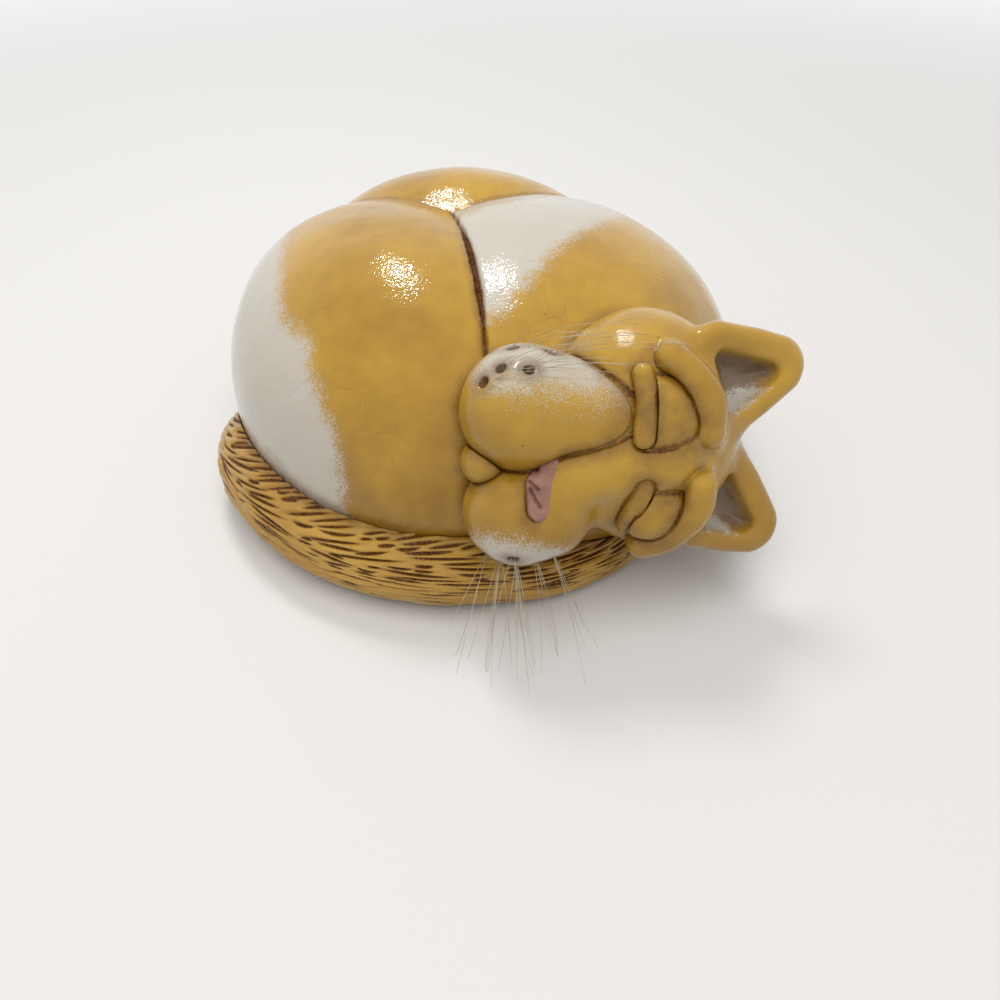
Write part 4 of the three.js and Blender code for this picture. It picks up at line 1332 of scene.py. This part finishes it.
right_pad_clay = pressed(drilled(right_pad, "right"), clay)
right_pad_clay = off_body(uneven(right_pad_clay, height=0.16, size=8, seed=15))
clay_piece(
    "whisker_pad_right",
    right_pad_clay,
    around([right_pad_heart, right_pad_end], 17),
    ["right_whisker_pad"],
    lambda p: dict(groove=right_pad_groove(p), white=right_pad_white(p)),
)
clay_piece(
    "chin_ball",
    lambda p: np.maximum(pressed(chin_ball, clay, right_pad)(p), CLEARANCE - tail(from_head(p))),
    around([chin_heart], 10),
    ["chin"],
    lambda p: dict(groove=np.minimum(np.abs(clay(p)), np.abs(right_pad(p)))),
)

# Lids and nose: each is sunk in the clay, and a lid's dome is pressed against the roll below
LID_SINK = 1.5
NOSE_SINK = 2


def sunk(field, depth):
    return lambda p: np.maximum(field(p), -clay(p) - depth)


def lid_paint(*neighbours):
    return lambda p: dict(groove=np.min([np.abs(other(p)) for other in neighbours], 0) - 0.2)


for side in SIDES:
    lower, dome, brow = LOWER_ROLLS[side], EYELID_DOMES[side], roll(BROW_LINES[side], BROW_THICKNESS)
    clay_piece(
        side + "_lower_lid_roll",
        sunk(uneven(lower, height=0.3, size=4, seed=16), LID_SINK),
        around(face_line(LOWER_LIDS[side], 0.8), 4),
        [side + "_lower_lid"],
        lid_paint(dome, clay),
    )
    upper = pressed(uneven(dome, height=0.12, size=5, seed=17), lower, width=0.45, depth=0.35)
    upper = sunk(upper, LID_SINK)
    clay_piece(
        side + "_eyelid_dome",
        lambda p: np.maximum(upper(p), -brow(p)),
        around([face_line(LOWER_LIDS[side], 0)[8] + vec(8, 0, -2)], 15),
        [side + "_eyelid"],
        lid_paint(lower, clay, brow),
    )

points, faces = skin(sunk(nose, NOSE_SINK), *around([nose_middle], 13), NOSE_STEP)
q = in_nose(points)
edge = np.abs(nose_outline(q)) + 4 * (1 - nose_edge(q))
groove = np.min([edge, nose_slit(q) + 0.15, 1.3 * (1 - nostril(q))], 0)
make_piece("nose_leather", from_head(points), faces, nose_material, "nose_paint", ["nose"], groove=groove)

# Whiskers: a few fine hairs in each hole
ALONG_CHEEK = vec(1, -0.2, 0.25)
HANGING = vec(-0.05, -0.92, 0.38)
DROOP = head_turn.T @ vec(0, 0.1, -0.3)
WHISKERS = {
    "right": dict(comb=ALONG_CHEEK, sweep=ALONG_CHEEK, length=30, stray=0.25),
    "left": dict(comb=HANGING, sweep=DROOP, length=38, stray=0),
}
HAIR_ROOT = 0.17
HAIR_END = 0.07
HAIR_SIDES = 6
HAIR_HEIGHTS = 0.5, 88.5


def hair_tube(line):
    """Points and faces of one tapered hair"""
    forward = unit(np.gradient(line, axis=0))
    u = unit(np.cross(forward, vec(0.2, 0.3, 1)))
    v = np.cross(forward, u)
    radius = blend(HAIR_ROOT, HAIR_END, np.linspace(0, 1, len(line))) / 2
    angle = np.radians(np.arange(0, 360, 360 / HAIR_SIDES))
    ring = u[:, None] * np.cos(angle)[:, None] + v[:, None] * np.sin(angle)[:, None]
    points = (line[:, None] + ring * radius[:, None, None]).reshape(-1, 3)
    return with_ends(points, HAIR_SIDES, line[0], line[-1])


def under_hairs(p):
    return np.min([clay(p), right_pad(p), gourd(from_head(p))], 0)


def hair_line(mouth, out, draw, comb, sweep, length, stray):
    """Middle of one hair: out of its hole, combed one way, drooping, and lying on the clay"""
    root = mouth - 2.5 * out + draw.normal(0, 0.18, 3)
    lay = draw.uniform(0.3, 0.9) * (1 if draw.random() > stray else -1)
    heading = unit(out + comb * lay + draw.normal(0, 0.2, 3))
    long = length * draw.uniform(0.72, 1.0)
    share = np.linspace(0, 1, 15)[:, None]
    line = root + heading * long * (share - 0.5 * share**1.5 * np.linalg.norm(sweep))
    line = line + sweep * long * 0.8 * share**1.5
    line = line + draw.normal(0, 1.6, 3) * share**2
    lift = np.maximum(0.5 - under_hairs(line), 0) * (share[:, 0] > 0.16)
    line = from_head(line + slope_of(under_hairs, line) * lift[:, None])
    line[:, 2] = np.clip(line[:, 2], *HAIR_HEIGHTS)
    return line


draw = np.random.default_rng(23)
for side in SIDES:
    for i, (mouth, out) in enumerate(zip(*MOUTHS[side]), 1):
        tuft, tuft_faces = np.empty((0, 3)), []
        for _ in range(draw.integers(3, 7)):
            points, faces = hair_tube(hair_line(mouth, out, draw, **WHISKERS[side]))
            tuft_faces += [[k + len(tuft) for k in face] for face in faces]
            tuft = np.concatenate([tuft, points])
        name = f"{side}_whiskers_{i}"
        make_piece(name, tuft, tuft_faces, hair_material, "whisker", [f"{side}_whisker_tuft_{i}"])

for name in ("base_plug", "neck_peg"):
    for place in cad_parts[name].material_slots:
        place.material = wood_material

# Stage: plain studio light, over a pale floor that turns to white away from the cat
WORLD_LIGHT = 0.42
WORLD_SEEN = 1.0
FLOOR_FADES = 250, 1000
AIM = Vector((0.01, 0, 0.03))


def seen_directly(add):
    """1 for the camera's rays and for what shows in a reflection or through glass, else 0"""
    rays = add("LightPath").node.outputs
    seen = rays["Is Camera Ray"]
    for other in ("Is Glossy Ray", "Is Transmission Ray"):
        seen = add("Math", [seen, rays[other]], operation="MAXIMUM")
    return seen


def matt_paper():
    """Matt studio paper: pale, with hardly any shine, so that it keeps the cat's shadow. It
    turns to plain white further away, so that no edge shows behind the cat"""
    material, add, place, _ = start_material("floor", {})
    paper = {"Base Color": "#DAD8D5", "Roughness": 0.9, "Specular IOR Level": 0.1}
    paper = add("BsdfPrincipled", paper)
    away = add("VectorMath", [place], out="Value", operation="LENGTH")
    away = add("MapRange", [away, *FLOOR_FADES], **SMOOTH)
    whiter = add("Math", [away, seen_directly(add)], operation="MULTIPLY")
    white = add("Emission", {"Strength": WORLD_SEEN})
    add("OutputMaterial", {"Surface": add("MixShader", [whiter, paper, white])})
    return material


def studio_world():
    world = bpy.data.worlds.new("studio")
    world.use_nodes = True
    world.node_tree.nodes.clear()
    add = partial(add_node, world.node_tree)
    strength = {"Value": seen_directly(add), "To Min": WORLD_LIGHT, "To Max": WORLD_SEEN}
    white = {"Color": "#FFFFFF", "Strength": add("MapRange", strength)}
    add("OutputWorld", {"Surface": add("Background", white)})
    return world


def square_lamp(name, azimuth, elevation, distance, size, power):
    """A white square lamp aimed at the cat, from a direction in degrees"""
    lamp = bpy.data.lights.new(name, "AREA")
    lamp.energy = power
    lamp.size = size
    holder = bpy.data.objects.new(name, lamp)
    azimuth, elevation = math.radians(azimuth), math.radians(elevation)
    flat = math.cos(elevation)
    toward = Vector((flat * math.cos(azimuth), flat * math.sin(azimuth), math.sin(elevation)))
    holder.location = AIM + toward * distance
    holder.rotation_euler = toward.to_track_quat("Z", "Y").to_euler()
    scene.collection.objects.link(holder)
    return holder


scene = bpy.context.scene
bpy.ops.mesh.primitive_plane_add(size=6, location=(0, 0, 0))
floor = bpy.context.object
floor.name = "floor"
floor.data.materials.append(matt_paper())
floor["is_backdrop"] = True
scene.world = studio_world()

# The key gives no highlight of its own: a smaller lamp in front of it gives only that
square_lamp("key", 112, 64, 0.85, 0.2, 2.8).visible_glossy = False
square_lamp("glint", 112, 64, 0.8, 0.075, 1.7).visible_diffuse = False
square_lamp("fill", 262, 66, 1.3, 1.2, 12.5).visible_glossy = False

lens = bpy.data.cameras.new("camera")
lens.lens = 30.6
lens.sensor_width = 36
camera = bpy.data.objects.new("camera", lens)
camera.location = (0.0133, -0.2366, 0.1889)
camera.rotation_euler = (math.radians(47), 0, 0)
scene.collection.objects.link(camera)
scene.camera = camera
scene.view_settings.view_transform = "Standard"

boxes = {"cad": cad_box, "visual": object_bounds()}
{key: [list(map(float, corner)) for corner in box] for key, box in boxes.items()}
